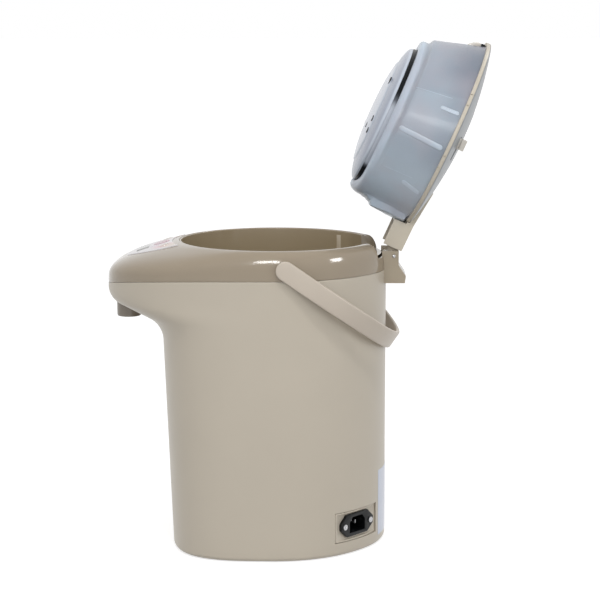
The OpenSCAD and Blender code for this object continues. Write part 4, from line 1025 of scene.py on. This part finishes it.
def make_panel():
    nu, nv = 36, 72
    w = nv + 1
    up, low = [], []
    for i in range(nu + 1):
        for j in range(w):
            x, y = panel_uv(i / nu, -1 + 2 * j / nv)
            edge = min(i, nu - i, 2) / 2
            up.append((x, y, top_z(x, y) + 0.45 + 0.3 * edge))
            low.append((x, y, top_z(x, y) - 0.5))
    base = len(up)
    faces = []
    for i in range(nu):
        for j in range(nv):
            a = i * w + j
            faces += [(a, a + 1, a + w + 1, a + w), (base + a, base + a + w, base + a + w + 1, base + a + 1)]
    rim = list(range(w)) + [i * w + nv for i in range(1, nu + 1)]
    rim += [nu * w + j for j in range(nv - 1, -1, -1)] + [i * w for i in range(nu - 1, 0, -1)]
    faces += [(a, base + a, base + b, b) for a, b in zip(rim, rim[1:] + rim[:1])]
    mesh("panel_film", (up + low, faces), "pot", panel_material(), ("control_panel",), None, 50)


def button_place(x, y):
    """The keys share one tilt, that of the nose's top between the keys and the display."""
    y0, y1 = -(PANEL_R + 10.8), -(PANEL_R + 28.8)
    tilt = atan((top_z(0, y0) - top_z(0, y1)) / (y0 - y1))
    return Matrix.Translation((x, y, top_z(x, y))) @ Matrix.Rotation(tilt, 4, "X")


def make_button(name, x, y, r, mat, node):
    h = 1.2
    prof = [(0, h - 0.7), (r * 0.5, h - 0.55), (r * 0.8, h - 0.1), (r - 0.7, h), (r - 0.25, h - 0.15)]
    prof += [(r, h - 0.6), (r, -5), (r + 1.6, -5), (r + 1.6, -6), (0, -6)]
    mesh(name, moved(lathe(prof, 96), button_place(x, y)), node, mat, (node,), None, 40)


# the latch in the lid's front edge: the lever's side view and the dark catch over it, as y and z
LATCH = ((-88.5, 291.5), (-93.2, 297.0), (-95.0, 301.6), (-94.9, 303.8), (-92.0, 304.4), (-89.4, 304.2),
         (-87.0, 295.0))
CATCH = ((-95.2, 304.6), (-90.5, 304.6), (-90.5, 308.3), (-95.2, 308.3))


def bar(points, half, radius):
    """A bar across the lid with a rounded side view and slightly drawn-in ends."""
    section = rounded(points, radius, 5)
    cy = sum(p[0] for p in section) / len(section)
    cz = sum(p[1] for p in section) / len(section)
    ends = ((0, 0.84), (0.25, 0.93), (0.8, 1))
    rings = []
    for x, k in [(d - half, k) for d, k in ends] + [(half - d, k) for d, k in reversed(ends)]:
        rings.append([(x, cy + (y - cy) * k, cz + (z - cz) * k) for y, z in section])
    return skin(rings)


def make_latch():
    mesh("latch_lever_grip", bar(LATCH, 6.2, 1.2), "latch", M["knob"], ("lid_latch",), LID, 40)
    mesh("latch_catch", bar(CATCH, 6.6, 0.6), "latch", M["black"], (), LID, 40)


def make_mouth_ribs():
    """Two upright ribs guide the lid's case beside its recess."""
    parts = []
    for deg in (42, 138):
        rings = []
        for z, k in ((COLLAR_Z + 3, 0.3), (COLLAR_Z + 4, 1), (RIM_Z - 6, 1), (RIM_Z - 4.5, 0.3)):
            left = ((-3.2, 0.3), (-2.6, -0.5 * k), (-1.6, -0.8 * k))
            section = left + tuple((-off, out) for off, out in reversed(left))
            rings.append([polar(COLLAR_R + out, rad(deg) + off / COLLAR_R, z) for off, out in section])
        parts.append(skin(rings))
    # the ribs' paler brown is painted light
    mesh("mouth_ribs", join(*parts), "pot", M["rib"], (), None, 40)


def make_plate_label():
    """A blank rating plate bent round the rear of the wall."""
    low, high, proud, sunk, n = 9.5, 77.0, 0.25, -0.4, 24
    section = ((sunk, low), (proud, low), (proud, high), (sunk, high))
    rings = []
    for i in range(n + 1):
        a = rad(lerp(69.5, 101.0, i / n))
        r = reach_in(a, BODY_R, FRONT, SQ)
        rings.append([polar(r + out, a, z) for out, z in section])
    mesh("rating_plate", skin(rings), "pot", M["label"], (), None, 30)


def make_rivets():
    """Round heads on the bracket's cheeks."""
    prof = [(0, 0.9), (0.9, 0.8), (1.5, 0.5), (1.8, 0), (1.8, -0.6), (0, -0.6)]
    parts = []
    for side in (1, -1):
        turn = Matrix.Translation((side * 23.4, 119.7, 293.8)) @ Matrix.Rotation(side * pi / 2, 4, "Y")
        parts.append(moved(lathe(prof, 32), turn))
    mesh("bracket_rivets", join(*parts), "pot", M["screw"], (), None, 40)


# -------- build
make_body()
make_top()
make_collar()
make_liner()
make_handle()
make_cover()
make_ring()
make_plate()
make_case()
make_disc()
make_gasket()
make_spout()
make_panel()
make_mouth_ribs()
make_plate_label()
make_rivets()
make_button("key_dispense", 0, -116, 8.5, M["rose"], "dispense_button")
make_button("key_reboil", -24, -112, 5.5, M["cream"], "reboil_button")
make_button("key_unlock", 24, -112, 5.5, M["cream"], "unlock_button")

dress("hinge_seat", M["top"], 0.4)
dress("hinge_bracket", M["bracket"], 0.5, 3)
dress("lid_arm", M["arm"], 0.5, 3)
dress("lock_slider", M["knob"], 0.9, 4)
make_latch()
dress("inlet_frame", M["frame"], 0.35)
dress("power_inlet", M["black"], 0.4, 3)
dress("inlet_pins", M["screw"], 0.4, 2)
dress("inlet_screws", M["screw"], 0.3, 2)
dress("handle_pivots", M["pivot"], 0.3)
dress("base_cover", M["body"], 0.3)
dress("foot_ring", M["foot"], 0.4, 3)
dress("indicator_window", M["glass"], 0.4, 3)
dress("gauge_window", M["tube"], 0.3)

# nodes that stay as the CAD drew them
KEEP = {"liner_gasket": "rubber", "liner_stand": "alu", "base_screws": "screw", "base_heater": "alu",
        "band_heater": "brass", "thermostat": "black", "thermal_fuse": "white", "pump_housing": "white",
        "pump_motor": "alu", "pump_impeller": "blue", "suction_tube": "tube", "riser_tube": "tube",
        "tip_valve": "white", "outlet_tube": "tube", "control_board": "board", "power_board": "board",
        "bracket_screws": "screw", "hinge_pin": "screw", "hinge_spring": "screw", "disc_screws": "screw",
        "bellows_seat": "white"}
for node, key in KEEP.items():
    me = nodes[node].data
    me.materials.clear()
    me.materials.append(M[key])

# the bellows and its spring ride on the lid, each as a copy of its CAD node with a mesh of its own
for node, key in (("bellows", "white"), ("bellows_spring", "screw")):
    o = add_object(node + ".soft", nodes[node].data.copy())
    finish(o, "lid", M[key], (node,), 30)
    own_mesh(o)

# -------- floor, light and camera
CAM = Vector((1.9035, 0.0629, 0.5418))
YAW, PITCH = 0.020, 0.1545
cam_data = bpy.data.cameras.new("camera")
cam_data.sensor_width = 36
cam_data.lens = 113.04
cam = add_object("camera", cam_data)
cam.location = CAM
look = Vector((-cos(PITCH) * cos(YAW), -cos(PITCH) * sin(YAW), -sin(PITCH)))
cam.rotation_euler = look.to_track_quat("-Z", "Y").to_euler()
bpy.context.scene.camera = cam


def lamp(name, place, aim, energy, size, size_y, diffuse=True, glossy=True):
    """A softbox; it can be kept out of the soft light or out of the reflections."""
    d = bpy.data.lights.new(name, "AREA")
    d.energy = energy
    d.shape = "RECTANGLE"
    d.size = size
    d.size_y = size_y
    o = add_object(name, d)
    o.visible_diffuse = diffuse
    o.visible_glossy = glossy
    o.location = place
    o.rotation_euler = (Vector(aim) - Vector(place)).to_track_quat("-Z", "Y").to_euler()


lamp("key", (2.0, -0.7, 1.55), (0, 0, 0.2), 12, 1.4, 1.2, glossy=False)
lamp("fill", (1.5, 1.5, 0.9), (0, 0, 0.25), 8, 1.4, 1.2, glossy=False)
lamp("over", (0.9, 0.1, 1.9), (0, 0, 0.3), 8, 0.16, 0.16, glossy=False)
lamp("spark", (1.6, -0.02, 0.92), (0, 0, 0.28), 6, 0.4, 0.22, diffuse=False)
lamp("glint", (0.6, 1.55, 0.76), (0, 0, 0.28), 6.5, 0.36, 0.24, diffuse=False)
lamp("gleam", (-0.9, 1.1, 1.7), (0, 0, 0.28), 5, 0.3, 0.3, diffuse=False)

# strength of the world as a light, shade of the floor's paper, and its lift towards white
WORLD_LIGHT, PAPER, FLOOR_LIFT = 0.62, (0.55, 0.57), 0.68


def studio_world():
    """A plain white surround, dimmer where it lights the object than where it is seen."""
    world = bpy.data.worlds.new("studio")
    bpy.context.scene.world = world
    world.use_nodes = True
    tree = world.node_tree
    tree.nodes.clear()
    kinds = ("OutputWorld", "Background", "LightPath", "Math", "Math", "MapRange")
    out, back, path, first, second, strength = (tree.nodes.new("ShaderNode" + kind) for kind in kinds)
    first.operation = "MAXIMUM"
    second.operation = "MAXIMUM"
    strength.inputs["To Min"].default_value = WORLD_LIGHT
    strength.inputs["To Max"].default_value = 1.0
    back.inputs["Color"].default_value = (1, 1, 1, 1)
    for source, target in (
        (path.outputs["Is Camera Ray"], first.inputs[0]),
        (path.outputs["Is Glossy Ray"], first.inputs[1]),
        (first.outputs[0], second.inputs[0]),
        (path.outputs["Is Transmission Ray"], second.inputs[1]),
        (second.outputs[0], strength.inputs["Value"]),
        (strength.outputs["Result"], back.inputs["Strength"]),
        (back.outputs[0], out.inputs["Surface"]),
    ):
        tree.links.new(source, target)


def floor_material():
    """Pale paper: it keeps the shadow, and is lifted towards white where the camera sees it."""
    n = Nodes("floor_paper")
    dark, light = PAPER
    col = n.ramp(n.noise(60, 3), [(0.3, (dark,) * 3), (0.7, (light,) * 3)])
    n.link(col, "Color", n.bsdf, "Base Color")
    n.put({"Roughness": 0.9, "Specular IOR Level": 0.1, "Emission Color": (1, 1, 1, 1)})
    lp = n.add("LightPath")
    seen = n.maths("MAXIMUM", (lp, "Is Camera Ray"), (lp, "Is Glossy Ray"))
    seen = n.maths("MAXIMUM", seen, (lp, "Is Transmission Ray"))
    n.link(*n.maths("MULTIPLY", seen, FLOOR_LIFT), n.bsdf, "Emission Strength")
    return n.mat


studio_world()
me = bpy.data.meshes.new("floor")
me.from_pydata([(-30, -30, 0), (30, -30, 0), (30, 30, 0), (-30, 30, 0)], [], [(0, 1, 2, 3)])
floor = add_object("floor", me)
floor.data.materials.append(floor_material())

bpy.context.scene.view_settings.view_transform = "Standard"
